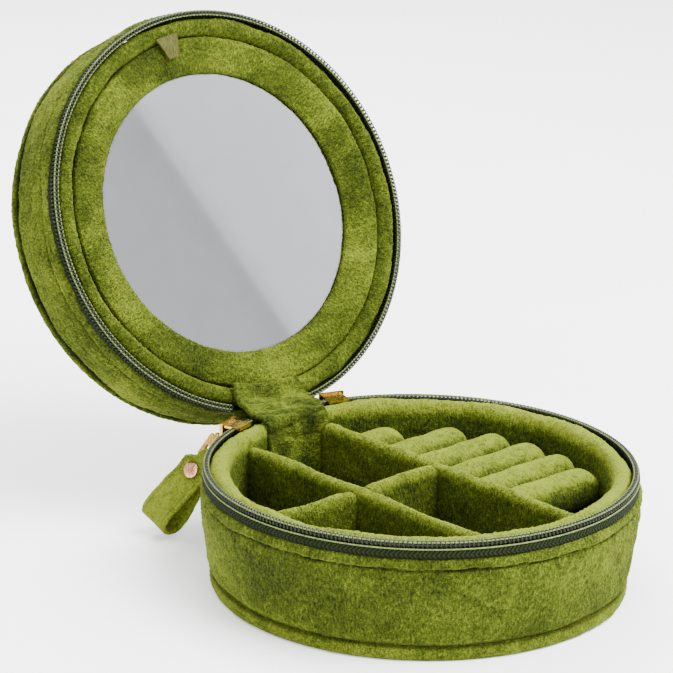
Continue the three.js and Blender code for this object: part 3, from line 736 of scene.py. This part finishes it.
def tube_loop(path, radius, sides=6):
    """Section rings for a round wire along an open path of points."""
    along = np.gradient(path, axis=0)
    along /= np.linalg.norm(along, axis=1, keepdims=True)
    side = np.cross(along, [0, 0, 1.0])
    side = np.where(np.linalg.norm(side, axis=1, keepdims=True) < 0.2, np.cross(along, [0, 1.0, 0]), side)
    side /= np.linalg.norm(side, axis=1, keepdims=True)
    other = np.cross(along, side)
    turn = np.linspace(0, 2 * math.pi, sides, endpoint=False)
    cos, sin = np.cos(turn)[None, :, None], np.sin(turn)[None, :, None]
    return path[:, None] + radius * (cos * side[:, None] + sin * other[:, None])


def repeated(name, unit_points, unit_faces, angles):
    """One small solid, drawn near angle 0, repeated at angles about the case's axis."""
    cos, sin = np.cos(angles)[:, None], np.sin(angles)[:, None]
    x, y, z = unit_points.T
    every = np.stack([x * cos - y * sin, x * sin + y * cos, z + 0 * cos], -1)
    count = len(unit_points)
    faces = [[corner + k * count for corner in face] for k in range(len(angles)) for face in unit_faces]
    return mesh_piece(name, every.reshape(-1, 3), faces)


def wire_unit(path, radius, sides=6):
    """One wire as points and faces, both ends capped."""
    rings = tube_loop(np.array(path, float), radius, sides)
    rows, size = rings.shape[:2]
    faces = [[i * size + j, i * size + (j + 1) % size, (i + 1) * size + (j + 1) % size, (i + 1) * size + j]
             for i in range(rows - 1) for j in range(size)]
    faces.append(list(range(size))[::-1])
    faces.append([(rows - 1) * size + j for j in range(size)])
    return rings.reshape(-1, 3), faces


def zip_chain(name, measured, body, lid=False):
    """A nylon coil: a bent wire for every tooth, two rows of stitches, its core and the base's edge cord."""
    low, high = chain_span(name)
    middle = (measured.inner + measured.outer) / 2
    count = int((high - low) * middle / TOOTH_PITCH)
    angles = np.linspace(low, high, count)
    flip = 2 * RIM_Z
    base_low, base_high = measured.low, measured.high
    if lid:
        base_low, base_high = flip - measured.high, flip - measured.low

    def up(level):
        return flip - level if lid else level

    inner, outer = measured.inner + 0.15, measured.outer + 0.05
    crown = base_high + 0.25
    tooth = [(-0.28, outer - 0.1, up(base_low + 0.1)), (-0.26, outer + 0.1, up(base_low + 0.7)),
             (-0.18, outer, up(crown - 0.45)), (0, middle + 0.3, up(crown)), (0.1, middle - 0.3, up(crown)),
             (0.2, inner, up(crown - 0.45)), (0.26, inner - 0.05, up(base_low + 0.7)),
             (0.28, inner + 0.1, up(base_low + 0.1))]
    points, faces = wire_unit(tooth, 0.3)
    teeth = repeated(f"{name}_coil", points, faces, angles)
    finish_piece(teeth, body, NYLON, [name])
    stitch_rows = [(middle + 0.62, crown - 0.02), (middle - 0.48, crown + 0.02)]
    threads = []
    for row, (r, level) in enumerate(stitch_rows):
        sunk = up(level - 0.14)
        stitch = [(-0.4, r, sunk), (-0.2, r, up(level)), (0.2, r, up(level)), (0.4, r, sunk)]
        points, faces = wire_unit(stitch, 0.2)
        between = angles + TOOTH_PITCH / middle / 2
        threads.append(repeated(f"{name}_stitches_{row + 1}", points, faces, between))
    turn = np.linspace(low, high, 560)[:, None]
    section = np.linspace(0, 2 * math.pi, 8, endpoint=False)[None, :]
    cords = [(middle, base_low + 0.75, 0.5, "core"), (outer + 0.22, base_low - 0.05, 0.2, "edge_cord")]
    for radius, level, thick, label in cords[:1] if lid else cords:
        rings = around(radius + thick * np.cos(section) + 0 * turn, turn + 0 * section,
                       up(level) + thick * np.sin(section))
        threads.append(loft(f"{name}_{label}", rings, False))
    for piece in [teeth, *threads]:
        if lid:
            piece.data.transform(OPEN_LID)
    for piece in threads:
        finish_piece(piece, body, NYLON if piece.name.endswith("core") else THREAD, [])


# ---- Inside the base ----

def length_turn(node):
    """Which way a long flat node runs across the case, as a turn from +Y."""
    flat = corners(node)[:, :2]
    values, vectors = np.linalg.eigh(np.cov((flat - flat.mean(0)).T))
    along = vectors[:, values.argmax()]
    along = along * np.sign(along[1])
    return math.atan2(-along[0], along[1])


INSERT_TURN = length_turn("long_divider")


def turned(points, angle):
    """Points turned about the case's axis."""
    x, y, z = np.moveaxis(points, -1, 0)
    cos, sin = math.cos(angle), math.sin(angle)
    return np.stack([x * cos - y * sin, x * sin + y * cos, z], -1)


def insert_box(node):
    """A node's lowest and highest corner, square to the insert."""
    points = turned(corners(node), -INSERT_TURN)
    return points.min(0), points.max(0)


def divider(node, along, seed):
    """A board wrapped in padded velvet: thin at the floor, with a plump rounded top edge."""
    low, high = insert_box(node)
    across = 1 - along
    middle = (low[across] + high[across]) / 2
    half = (high[across] - low[across]) / 2
    floor_z, top_z = low[2], high[2]
    outline = [(-half + 0.25, floor_z), (half - 0.25, floor_z), (half, floor_z + 1.5),
               (half + 0.05, top_z - 8), (half + 0.1, top_z - 3.2), (half - 0.1, top_z - 0.6),
               (0.4, top_z + 0.15), (-0.4, top_z + 0.15), (-half + 0.1, top_z - 0.6),
               (-half - 0.1, top_z - 3.2), (-half - 0.05, top_z - 8), (-half, floor_z + 1.5)]
    loop = rounded_loop(outline, 90)
    normal = section_normals(loop)
    steps = max(60, int((high[along] - low[along]) * 3))
    travel = np.linspace(low[along], high[along], steps)[:, None]
    from_end = np.minimum(travel - low[along], high[along] - travel)
    rings = np.zeros((steps, len(loop), 3))
    rings[..., along] = travel
    rings[..., across] = middle + loop[None, :, 0]
    rings[..., 2] = loop[None, :, 1]
    top = smooth_step(loop[None, :, 1], top_z - 3.5, top_z - 0.5)
    swell = pile(rings, seed, 0.2) - 0.5 * (1 - smooth_step(from_end, 0, 1.2)) * top
    swell += 0.28 * top * soft_noise(rings, 13, seed + 4)
    rings[..., across] += swell * normal[None, :, 0]
    rings[..., 2] += swell * normal[None, :, 1] - 0.5 * top * (1 - smooth_step(from_end, 0, 3))
    # Painted shade at the ends, along the top seam and lower down the sides; painted light makes the top
    # lighter and the sides darker.
    seam = 0.5 * bell(loop[None, :, 0], 0.9, 0.18) * top
    shaded = 0.3 * smooth_step(top_z - loop[None, :, 1], 8, 22)
    painted_shade = 0.5 * (1 - smooth_step(from_end, 0, 1.5)) + shaded + seam
    marks = {"painted_shade": painted_shade, "nap_and_painted_light": 0.22 * top - 0.08 * (1 - top)}
    piece = loft(f"{node}_velvet", turned(rings, INSERT_TURN), False, marks)
    return finish_piece(piece, "base", VELVET, [node])


def ring_bed():
    """The low block that carries the ring rolls, cut to the wall of the case."""
    points = corners("ring_bed")
    flat = np.unique(np.round(points[:, :2], 3), axis=0)
    centre = flat.mean(0)
    order = np.argsort(np.arctan2(*(flat - centre).T))
    outline = rounded_loop(flat[order], 360, passes=1)
    pad("ring_bed_velvet", "ring_bed", "base", PAINTED_SHADE_VELVET, outline,
        grain=0.12, edge_painted_shade=0.3, seed=61)


def ring_roll(number):
    """A stuffed roll: a flat end at the divider and a gathered round end at the wall."""
    node = f"ring_roll_{number}"
    low, high = insert_box(node)
    axis_y, axis_z = (low[1] + high[1]) / 2, (low[2] + high[2]) / 2
    radius = (high[1] - low[1]) / 2
    start, end = low[0], high[0]
    dome = radius * 0.85
    turn = np.linspace(0, 2 * math.pi, 72, endpoint=False)[None, :]
    straight = np.linspace(start + 0.9, end - dome, 70)
    bow = np.radians(np.linspace(4, 88, 22))
    flat_end = start + 0.9 * (1 - np.cos(np.radians([10, 40, 65])))
    travel = np.concatenate([flat_end, straight, end - dome + dome * np.sin(bow)])
    size = np.concatenate([radius * np.array([0.82, 0.93, 0.98]), np.full(len(straight), radius),
                           radius * np.cos(bow)])
    travel, size = travel[:, None], size[:, None]
    gathers = 1 + 0.5 * np.sin(5 * turn + number) * np.sin(11 * turn + 2 * number)
    near_end = smooth_step(travel, end - dome * 1.3, end - 0.4)
    shape = size * (1 - 0.05 * near_end * gathers)
    across, up = np.cos(turn), np.sin(turn)
    rings = np.stack([travel + 0 * turn, axis_y + shape * across, axis_z + shape * up], -1)
    swell = 0.55 * pile(rings, 70 + number, 0.3) + 0.16 * soft_noise(rings, 9, 80 + number)
    keep_off = np.where(np.abs(across) > 0.8, 0.3, 1.0)
    swell = np.where(travel < start + 1, 0, swell) * keep_off
    rings[..., 1] += swell * across
    rings[..., 2] += swell * up
    # Painted shade in the valley under each roll and in the gathers at its end; painted light makes the ridge
    # lighter and the underside darker.
    ridge = smooth_step(up, 0.2, 0.9)
    valley = smooth_step(-up, -0.35, 0.35)
    painted_shade = 0.65 * valley + 0.25 * near_end * bell(gathers, 0.55, 0.25)
    marks = {"painted_shade": np.clip(painted_shade, 0, 1), "nap_and_painted_light": 0.3 * ridge - 0.2 * (1 - ridge) + 0 * travel}
    piece = loft(f"{node}_velvet", turned(rings, INSERT_TURN), False, marks)
    return finish_piece(piece, "base", VELVET, [node])


# ---- Mirror panel ----

surround = Round("mirror_surround", shut=True)
glass = Round("mirror_glass", shut=True)


def mirror_surround():
    """The padded velvet ring that frames the glass, drawn face down with the lid shut."""
    inner, outer, face = surround.inner, surround.outer, surround.low
    ledge = glass.low - 0.3
    pocket = glass.outer + 0.3
    outline = [(inner, ledge), (inner - 0.05, ledge - 0.5), (inner + 0.5, ledge - 1), (inner + 2, face + 1.4),
               (inner + 4.4, face + 0.4), (outer - 3, face - 0.3), (outer - 0.9, face - 0.1),
               (outer + 0.25, face + 0.8), (outer, surround.high), (pocket, surround.high), (pocket, ledge)]

    def shape(points, angle, r, z):
        front = smooth_step(-z, -ledge, 0.8 - ledge)
        swell = front * (pile(points, 91, 0.2) + 0.1 * soft_noise(points, 9, 95))
        # Painted shade along the outer edge and where the velvet meets the glass.
        painted_shade = 0.8 * bell(r, outer + 0.4, 0.5) + 0.3 * bell(r, inner, 0.4)
        return swell, painted_shade, 0.05 + 0.12 * soft_noise(points, 28, 97)

    piece = soft_ring("mirror_surround_velvet", outline, shape, count=110, steps=560, lid=True)
    finish_piece(piece, "mirror_panel", COMBED, ["mirror_surround"])


def edge_fibres():
    """Loose pile along the surround's inner edge, lying a little over the glass."""
    rng = np.random.default_rng(17)
    count = 1500
    angles = rng.uniform(0, 2 * math.pi, count)
    parts, faces = [], []
    for angle in angles:
        length = rng.uniform(0.35, 1.1)
        lean = rng.normal(0, 0.35)
        root = surround.inner + 0.25
        level = glass.low - 0.35 - rng.uniform(0, 0.6)
        path = np.array([[root, 0, level], [root - 0.5 * length, lean * 0.4 * length, level],
                         [root - length, lean * length, level + 0.1]])
        points, unit = fibre(path, 0.035)
        x, y, z = points.T
        cos, sin = math.cos(angle), math.sin(angle)
        first = len(parts) * len(points)
        parts.append(np.stack([y * cos - x * sin, x * cos + y * sin, z], -1))
        faces += [[corner + first for corner in face] for face in unit]
    piece = mesh_piece("mirror_surround_pile", np.concatenate(parts), faces)
    piece.data.transform(OPEN_LID)
    finish_piece(piece, "mirror_panel", COMBED, [])


def fibre(path, radius):
    """A tapering three-sided fibre with a closed root and a pointed tip."""
    turn = np.linspace(0, 2 * math.pi, 3, endpoint=False)
    ring = np.stack([0 * turn, radius * np.cos(turn), radius * np.sin(turn)], -1)
    points = np.concatenate([path[0] + ring, path[1] + 0.8 * ring, path[2:3]])
    sides = [[k, (k + 1) % 3, 3 + (k + 1) % 3, 3 + k] for k in range(3)]
    tip = [[3 + k, 3 + (k + 1) % 3, 6] for k in range(3)]
    return points, [[2, 1, 0], *sides, *tip]


def mirror_glass():
    """A flat silvered disc with a fine bevel."""
    radius, face, back = glass.outer, glass.low, glass.high
    turn = np.linspace(0, 2 * math.pi, 360, endpoint=False)
    profile = [(0.05, face), (radius - 0.5, face), (radius, face + 0.4), (radius, back - 0.1),
               (radius - 0.1, back), (0.05, back)]
    rings = np.stack([around(np.full_like(turn, r), turn, np.full_like(turn, z)) for r, z in profile])
    piece = loft("mirror_glass_pane", rings, False)
    piece.data.transform(OPEN_LID)
    piece.data.shade_flat()
    finish_piece(piece, "mirror_panel", MIRROR, ["mirror_glass"])


def pull_tab():
    """A short satin ribbon that widens towards the rim, folded flat with a raised edge."""
    points = corners("mirror_pull_tab", shut=True)
    flat = points[:, :2]
    outward = flat.mean(0) / np.linalg.norm(flat.mean(0))
    side = np.array([-outward[1], outward[0]])
    along, across = flat @ outward, flat @ side
    far, near = along.max(), along.min()
    wide = np.abs(across[along > far - 0.8]).max()
    narrow = np.abs(across[along < near + 0.8]).max()
    low, high = points[:, 2].min(), points[:, 2].max()
    travel = np.linspace(near, far, 40)
    share = (travel - near) / (far - near)
    half = narrow + (wide - narrow) * share
    columns = np.linspace(-1, 1, 26)
    middle = (low + high) / 2
    level = middle - 0.12 * (1 - columns[None, :] ** 2) + 0 * travel[:, None]
    level = level - 0.1 * np.sin(share[:, None] * math.pi)
    spread = (half[:, None] * columns[None, :])[..., None] * side
    grid = np.concatenate([travel[:, None, None] * outward + spread, level[..., None]], -1)
    piece = thick_sheet("mirror_pull_tab_satin", grid, 0.6)
    piece.data.transform(OPEN_LID)
    finish_piece(piece, "mirror_panel", SATIN, ["mirror_pull_tab"])


def thick_sheet(name, grid, thickness, closed=False, marks=None):
    """A sheet of cloth over a grid of points [along, across], with rounded side edges."""
    along = np.roll(grid, -1, 0) - np.roll(grid, 1, 0) if closed else np.gradient(grid, axis=0)
    across = np.gradient(grid, axis=1)
    normal = np.cross(along, across)
    normal /= np.maximum(np.linalg.norm(normal, axis=2, keepdims=True), 1e-9)
    side = across / np.linalg.norm(across, axis=2, keepdims=True)
    half = np.asarray(thickness) / 2 * np.ones(grid.shape[:2])[..., None]
    front, back = grid + half * normal, grid - half * normal
    first = grid[:, :1] - 0.7 * half[:, :1] * side[:, :1]
    last = grid[:, -1:] + 0.7 * half[:, -1:] * side[:, -1:]
    rings = np.concatenate([front, last, back[:, ::-1], first], 1)
    wrapped = {}
    for mark, values in (marks or {}).items():
        values = np.broadcast_to(values, grid.shape[:2])
        wrapped[mark] = np.concatenate([values, values[:, -1:], values[:, ::-1], values[:, :1]], 1)
    for mark in ("painted_shade", "nap_and_painted_light"):
        wrapped.setdefault(mark, np.zeros(rings.shape[:2]))
    return loft(name, rings, closed, wrapped)


def stop_ring():
    """The narrow velvet ring in the lid that the mirror panel shuts against."""
    size = Round("mirror_stop_ring", shut=True)
    outline = [(size.inner, size.low), (size.outer, size.low),
               (size.outer, size.high), (size.inner, size.high)]

    def shape(points, angle, r, z):
        return 0.3 * pile(points, 101, 0.15), 0 * z, 0 * z

    piece = soft_ring("mirror_stop_ring_velvet", outline, shape, count=40, steps=360, lid=True)
    finish_piece(piece, "lid", PAINTED_SHADE_VELVET, ["mirror_stop_ring"])


# ---- Hinge cloth ----

def arc_of(node):
    """The middle and half width, as turns about the case's axis, of a node's foot."""
    points = corners(node)
    foot = points[points[:, 2] < points[:, 2].min() + 2]
    turn = np.arctan2(-foot[:, 0], foot[:, 1])
    return (turn.min() + turn.max()) / 2, (turn.max() - turn.min()) / 2


def hinge_cloth(name, node, path, thickness, creases, seed):
    """Cloth sewn to both halves; path holds [radius, z, on the lid] and is drawn for a shut case."""
    middle, half = arc_of(node)
    columns = np.linspace(middle - half, middle + half, 60)
    tracks = []
    for angle in columns:
        points = np.array([around(np.array(r), np.array(angle), np.array(z)) for r, z, _ in path])
        lifted = np.array([on_lid for _, _, on_lid in path])
        points[lifted] = moved(points[lifted] * MM, OPEN_LID) / MM
        tracks.append(rounded_loop(points, 150, closed=False))
    grid = np.stack(tracks, 1)
    along = np.gradient(grid, axis=0)
    normal = np.cross(along, np.gradient(grid, axis=1))
    normal /= np.linalg.norm(normal, axis=2, keepdims=True)
    share = np.linspace(0, 1, 150)[:, None]
    width = np.linspace(-1, 1, 60)[None, :]
    free = bell(share, 0.55, 0.2)
    waves = np.zeros(grid.shape[:2])
    for place, tilt, depth in creases:
        waves += depth * bell(share, place + tilt * width, 0.025)
    relief = free * (0.4 * soft_noise(grid, 7, seed) + 0.2 * soft_noise(grid, 3.5, seed + 1)) - waves
    grid = grid + relief[..., None] * normal
    # Painted shade in the folds and along the side edges.
    marks = {"painted_shade": np.clip(0.35 * waves, 0, 1) + 0.2 * bell(np.abs(width), 1, 0.05),
             "nap_and_painted_light": 0.14 * soft_noise(grid, 10, seed + 2) - 0.06}
    piece = thick_sheet(name, grid, thickness, marks=marks)
    length = np.linalg.norm(np.diff(grid, axis=0), axis=2).sum(0).mean()
    breadth = np.linalg.norm(np.diff(grid, axis=1), axis=2).sum(1).mean()
    return piece, breadth * MM, length * MM


def bend_over_rim(piece):
    """Bakes a piece's placement into its mesh."""
    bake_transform(piece)


def hinge_strip():
    """The strip inside: up the back wall, over both rims, and under the mirror panel's edge."""
    inner = liner.inner - 0.9
    over = liner.high + 0.9
    top = 2 * RIM_Z
    path = [(inner, 11, False), (inner, 21, False), (inner, liner.high - 1.6, False),
            (inner + 0.6, over - 0.3, False), (inner + 2.8, over + 0.3, False),
            (lid_wall.outer - 2.4, over + 1.1, False),
            (lid_wall.outer - 3.1, top - over - 1.1, True), (inner + 2.8, top - over - 0.6, True),
            (inner + 0.9, top - over - 0.2, True), (inner + 0.2, top - over + 0.3, True)]
    creases = [(0.42, 0.03, 0.5), (0.52, -0.06, 0.8), (0.6, 0.04, 0.6), (0.7, -0.02, 0.5), (0.8, 0.03, 0.45)]
    piece, width, length = hinge_cloth("hinge_strip_velvet", "hinge_strip", path, 1.1, creases, 111)
    finish_piece(piece, None, VELVET, ["hinge_strip"])
    bend_over_rim(piece)


def hinge_gusset():
    """The cloth outside that closes the gap between the two walls at the hinge."""
    outer = base_tape.outer - 0.8
    low = wall.high + 0.3
    top = 2 * RIM_Z
    path = [(outer, low, False), (outer, low + 1, False), (outer + 0.2, low + 2, False),
            (outer + 0.2, top - low - 2, True), (outer, top - low - 1, True), (outer, top - low, True)]
    creases = [(0.5, 0.02, 0.3)]
    piece, width, length = hinge_cloth("hinge_gusset_velvet", "hinge_gusset", path, 0.8, creases, 121)
    finish_piece(piece, None, VELVET, ["hinge_gusset"])
    bend_over_rim(piece)


# ---- Sliders, pull rings, straps and rivets ----

class PullFrame:
    """A pull's own directions: across its pin, down its strap, and out of its face."""

    def __init__(self, side):
        swing = joint(f"pull_{side}_swing")
        self.pivot = np.array(swing["pos_m"]) / MM
        self.across = np.array(swing["axis"])
        hanging = corners(f"pull_strap_{side}").mean(0) - self.pivot
        down = hanging - (hanging @ self.across) * self.across
        self.down = down / np.linalg.norm(down)
        self.face = np.cross(self.across, self.down)

    def place(self, a, d, f):
        a, d, f = np.broadcast_arrays(np.asarray(a, float), d, f)
        return self.pivot + a[..., None] * self.across + d[..., None] * self.down + f[..., None] * self.face

    def read(self, node):
        """A node's corners as [across, down, face]."""
        offset = corners(node) - self.pivot
        return np.stack([offset @ self.across, offset @ self.down, offset @ self.face], -1)


STRAP_THICKNESS = 1.35


def strap(side):
    """A velvet ribbon looped through the pull ring, riveted flat near the top and open below."""
    f = PullFrame(side)
    points = f.read(f"pull_strap_{side}")
    end = points[:, 1].max()
    root = points[:, 1].min() + 0.75
    wide = np.abs(points[:, 0]).max()
    narrow = np.abs(points[points[:, 1] < root + 1, 0]).max()
    rivet_at = f.read(f"strap_rivet_{side}")[:, 1].mean()
    side_path = [(root, 0), (root + 0.5, 1.15), (root + 1.6, 1.6), (root + 4, 1.2),
                 (rivet_at + 2, 1.15), (rivet_at + 7, 2.3), (rivet_at + 12, 3.5),
                 (end - 4.4, 3.6), (end - 2.4, 3.3), (end - 1.2, 2.1), (end - 0.75, 0)]
    loop_path = np.array(side_path + [(d, -out) for d, out in side_path[-2:0:-1]])
    path = rounded_loop(loop_path, 220)
    d, out = path[:, 0][:, None], path[:, 1][:, None]
    half = narrow + (wide - narrow) * smooth_step(d, root + 1.7, root + 5)
    columns = np.linspace(-1, 1, 40)[None, :]
    across = (half - 0.5) * columns
    grid = f.place(across, d, out + 0 * columns)
    curl = 0.16 * columns ** 2 * np.sign(out)
    noise = 0.2 * soft_noise(grid, 9, 131) + 0.06 * np.random.default_rng(5).normal(size=grid.shape[:2])
    free = smooth_step(d, rivet_at + 2, rivet_at + 7)
    grid = grid + ((noise * (0.3 + 0.7 * free)) * np.sign(out) + curl)[..., None] * f.face
    grid[..., 2] += free * max(0.0, STRAP_THICKNESS - grid[..., 2].min())
    # Painted shade round the rivet and along the stitched lines near the edges; painted light makes the whole
    # strap lighter.
    stitch = bell(np.abs(across), half - 1.3, 0.22)
    marks = {"painted_shade": 0.35 * stitch + 0.5 * bell(d, rivet_at, 2.6) * bell(columns, 0, 0.55),
             "nap_and_painted_light": 0.08 * soft_noise(grid, 12, 133) + 0.42}
    piece = thick_sheet(f"pull_strap_{side}_velvet", grid, STRAP_THICKNESS, closed=True, marks=marks)
    length = np.linalg.norm(np.diff(grid, axis=0, append=grid[:1]), axis=2).sum(0).mean() * MM
    breadth = (np.linalg.norm(np.diff(grid, axis=1), axis=2).sum(1).mean() + 1) * MM
    finish_piece(piece, f"pull_{side}", VELVET, [f"pull_strap_{side}"])


def rivet(side):
    """A rivet with a low domed head on each face of the strap."""
    f = PullFrame(side)
    points = f.read(f"strap_rivet_{side}")
    middle = points[:, 1].mean()
    head = np.abs(points[:, 0]).max()
    high = np.abs(points[:, 2]).max()
    under = high - 0.8
    shank = head * 0.48
    dome = [(head * math.cos(t), under + 0.3 + (high - under - 0.3) * math.sin(t))
            for t in np.radians([0, 20, 45, 70, 89])]
    half_profile = [(shank, 0), (shank, under), (head - 0.15, under), *dome]
    profile = [(r, -z) for r, z in half_profile[:0:-1]] + half_profile
    turn = np.linspace(0, 2 * math.pi, 48, endpoint=False)
    rings = np.stack([f.place(r * np.cos(turn), middle + r * np.sin(turn), z) for r, z in profile])
    piece = loft(f"strap_rivet_{side}_head", rings, False)
    finish_piece(piece, f"pull_{side}", ROSE_GOLD, [f"strap_rivet_{side}"])


def plain_node(node, material, edge=0.0):
    """A hard CAD part shown as it is, with its edges eased."""
    piece = frame["nodes"][node]
    piece.data.materials.clear()
    piece.data.materials.append(material)
    if edge:
        bevel = piece.modifiers.new("eased_edges", "BEVEL")
        bevel.width = edge * MM
        bevel.segments = 3
        bevel.limit_method = "ANGLE"
        bevel.angle_limit = math.radians(30)


# ---- The whole case ----

base_wall()
base_welt()
lining("base_rim_liner", liner, "base", 131)
pad("base_bottom_panel_velvet", "base_bottom_panel", "base", PAINTED_SHADE_VELVET, face_down=True,
    crown=-0.5, grain=0.06, seed=141)
pad("base_floor_pad_velvet", "base_floor_pad", "base", PAINTED_SHADE_VELVET, seed=151)
zip_tape("base_zip_tape", base_tape, "base", 161)
zip_chain("base_zip_teeth", base_teeth, "base")
divider("ring_side_divider", 1, 171)
divider("long_divider", 1, 181)
divider("cross_divider_middle", 0, 191)
divider("cross_divider_side", 0, 201)
ring_bed()
for roll_number in range(1, 7):
    ring_roll(roll_number)

lid_shell_wall()
lid_welt()
lining("lid_rim_liner", Round("lid_rim_liner", shut=True), "lid", 211, mirrored=True)
pad("lid_cap_panel_velvet", "lid_cap_panel", "lid", VELVET, crown=0.2, shut=True, seed=221)
pad("lid_storage_lining_velvet", "lid_storage_lining", "lid", PAINTED_SHADE_VELVET,
    shut=True, face_down=True, seed=231)
zip_tape("lid_zip_tape", Round("lid_zip_tape", shut=True), "lid", 241, lid=True)
zip_chain("lid_zip_teeth", lid_teeth, "lid", lid=True)

mirror_surround()
edge_fibres()
mirror_glass()
pad("mirror_backing_velvet", "mirror_backing", "mirror_panel", PAINTED_SHADE_VELVET,
    shut=True, seed=251)
pull_tab()
stop_ring()

hinge_strip()
hinge_gusset()

for side in ("left", "right"):
    strap(side)
    rivet(side)
    plain_node(f"slider_body_{side}", GOLD, edge=0.18)
    plain_node(f"pull_ring_{side}", GOLD, edge=0.2)
for board in ("base_floor_board", "base_wall_board", "lid_cap_board", "lid_wall_board"):
    plain_node(board, BOARD, edge=0.1)


# ---- Floor, light and camera ----

def floor():
    """A pale sweep under the case."""
    s = Shader("floor_paper")
    grain = s.noise(s.position(), 0.01, detail=3.0)
    tones = [(0.2, linear(246, 246, 246)), (0.8, linear(251, 251, 251))]
    s.feed(s.surface, "Base Color", s.ramp(grain, tones))
    s.surface.inputs["Roughness"].default_value = 0.85
    reach, count = 4.0, 9
    rows = np.linspace(-reach, reach, count)
    points = [[x, y, 0] for x in rows for y in rows]
    starts = [i * count + j for i in range(count - 1) for j in range(count - 1)]
    faces = [[k, k + 1, k + count + 1, k + count] for k in starts]
    mesh = bpy.data.meshes.new("floor")
    mesh.from_pydata(points, [], faces)
    mesh.materials.append(s.material)
    sheet = bpy.data.objects.new("floor", mesh)
    bpy.context.scene.collection.objects.link(sheet)


def area_light(name, direction, distance, size, power, aim=(0, 0, 50)):
    """A square soft box that shines from a direction at a point, in millimetres."""
    light = bpy.data.lights.new(name, "AREA")
    light.shape = "SQUARE"
    light.size = size * MM
    light.energy = power
    lamp = bpy.data.objects.new(name, light)
    aim = Vector(aim) * MM
    lamp.location = aim + Vector(direction).normalized() * distance * MM
    lamp.rotation_euler = (lamp.location - aim).to_track_quat("Z", "Y").to_euler()
    bpy.context.scene.collection.objects.link(lamp)
    return lamp


CAMERA_AZIMUTH = -37.6
CAMERA_ELEVATION = 17.45
CAMERA_ROLL = 0.74
CAMERA_DISTANCE = 780
CAMERA_AIM = (-5.7, 29.4, 60.4)
CAMERA_LENS = 157.8


def camera():
    """The camera, turned round the case from straight in front and raised."""
    azimuth, elevation = math.radians(CAMERA_AZIMUTH), math.radians(CAMERA_ELEVATION)
    level = math.cos(elevation)
    back = Vector((math.sin(azimuth) * level, -math.cos(azimuth) * level, math.sin(elevation)))
    right = Vector((0, 0, 1)).cross(back).normalized()
    matrix = Matrix((right, back.cross(right), back)).transposed().to_4x4()
    lens = bpy.data.cameras.new("view")
    lens.lens = CAMERA_LENS
    lens.sensor_width = 36
    lens.clip_start = 0.05
    eye = bpy.data.objects.new("view", lens)
    roll = Matrix.Rotation(math.radians(CAMERA_ROLL), 4, "Z")
    eye.matrix_world = Matrix.Translation((Vector(CAMERA_AIM) + back * CAMERA_DISTANCE) * MM) @ matrix @ roll
    bpy.context.scene.collection.objects.link(eye)
    bpy.context.scene.camera = eye
    return eye


def seen_in_mirror(eye, right, up):
    """The direction that the eye sees at a point of the open mirror, given as shares of its radius."""
    centre = Vector((0, 0, glass.low * MM))
    point = OPEN_LID @ (centre + Vector((right, -up, 0)) * float(surround.inner * MM))
    normal = (OPEN_LID.to_3x3() @ Vector((0, 0, -1))).normalized()
    return (point - eye.location).normalized().reflect(normal)


# Where the panels' shared edge crosses the mirror, as shares of its radius to the right and up
PANEL_EDGE = [(-0.54, 0.82), (0.24, -0.87)]


def world(eye, strength=1.0):
    """A white room, with two grey panels in the part of it that the mirror shows."""
    room = bpy.data.worlds.new("pale_room")
    bpy.context.scene.world = room
    room.use_nodes = True
    tree = room.node_tree
    background = tree.nodes["Background"]
    background.inputs["Strength"].default_value = strength
    start, end = seen_in_mirror(eye, *PANEL_EDGE[0]), seen_in_mirror(eye, *PANEL_EDGE[1])
    middle = seen_in_mirror(eye, 0, 0)
    edge = start.cross(end).normalized()
    if seen_in_mirror(eye, 0.8, 0.5).dot(edge) < 0:
        edge = -edge
    direction = tree.nodes.new("ShaderNodeTexCoord").outputs["Generated"]

    def share(axis, low, high):
        dot = tree.nodes.new("ShaderNodeVectorMath")
        dot.operation = "DOT_PRODUCT"
        tree.links.new(direction, dot.inputs[0])
        dot.inputs[1].default_value = axis
        ranged = tree.nodes.new("ShaderNodeMapRange")
        tree.links.new(dot.outputs["Value"], ranged.inputs["Value"])
        ranged.inputs["From Min"].default_value = low
        ranged.inputs["From Max"].default_value = high
        return ranged.outputs["Result"]

    tones = tree.nodes.new("ShaderNodeValToRGB")
    stops = [(0.0, 0.37), (0.4, 0.345), (0.5, 0.3), (0.51, 0.47), (0.56, 0.55), (1.0, 0.62)]
    while len(tones.color_ramp.elements) < len(stops):
        tones.color_ramp.elements.new(0.5)
    for element, (place, tone) in zip(tones.color_ramp.elements, stops):
        element.position = place
        element.color = (tone, tone, tone * 1.02, 1)
    tree.links.new(share(edge, -0.05, 0.05), tones.inputs["Fac"])
    blend = tree.nodes.new("ShaderNodeMix")
    blend.data_type = "RGBA"
    tree.links.new(share(middle, 0.93, 0.97), blend.inputs[0])
    blend.inputs[6].default_value = (1, 1, 1, 1)
    tree.links.new(tones.outputs["Color"], blend.inputs[7])
    tree.links.new(blend.outputs[2], background.inputs["Color"])


floor()
eye = camera()
world(eye, 2.2)
area_light("key", (0.35, -0.6, 1.0), 900, 700, 34)
area_light("fill", (-1.0, -0.7, 0.5), 1000, 700, 8)
area_light("back", (0.3, 0.9, 1.0), 900, 600, 14)
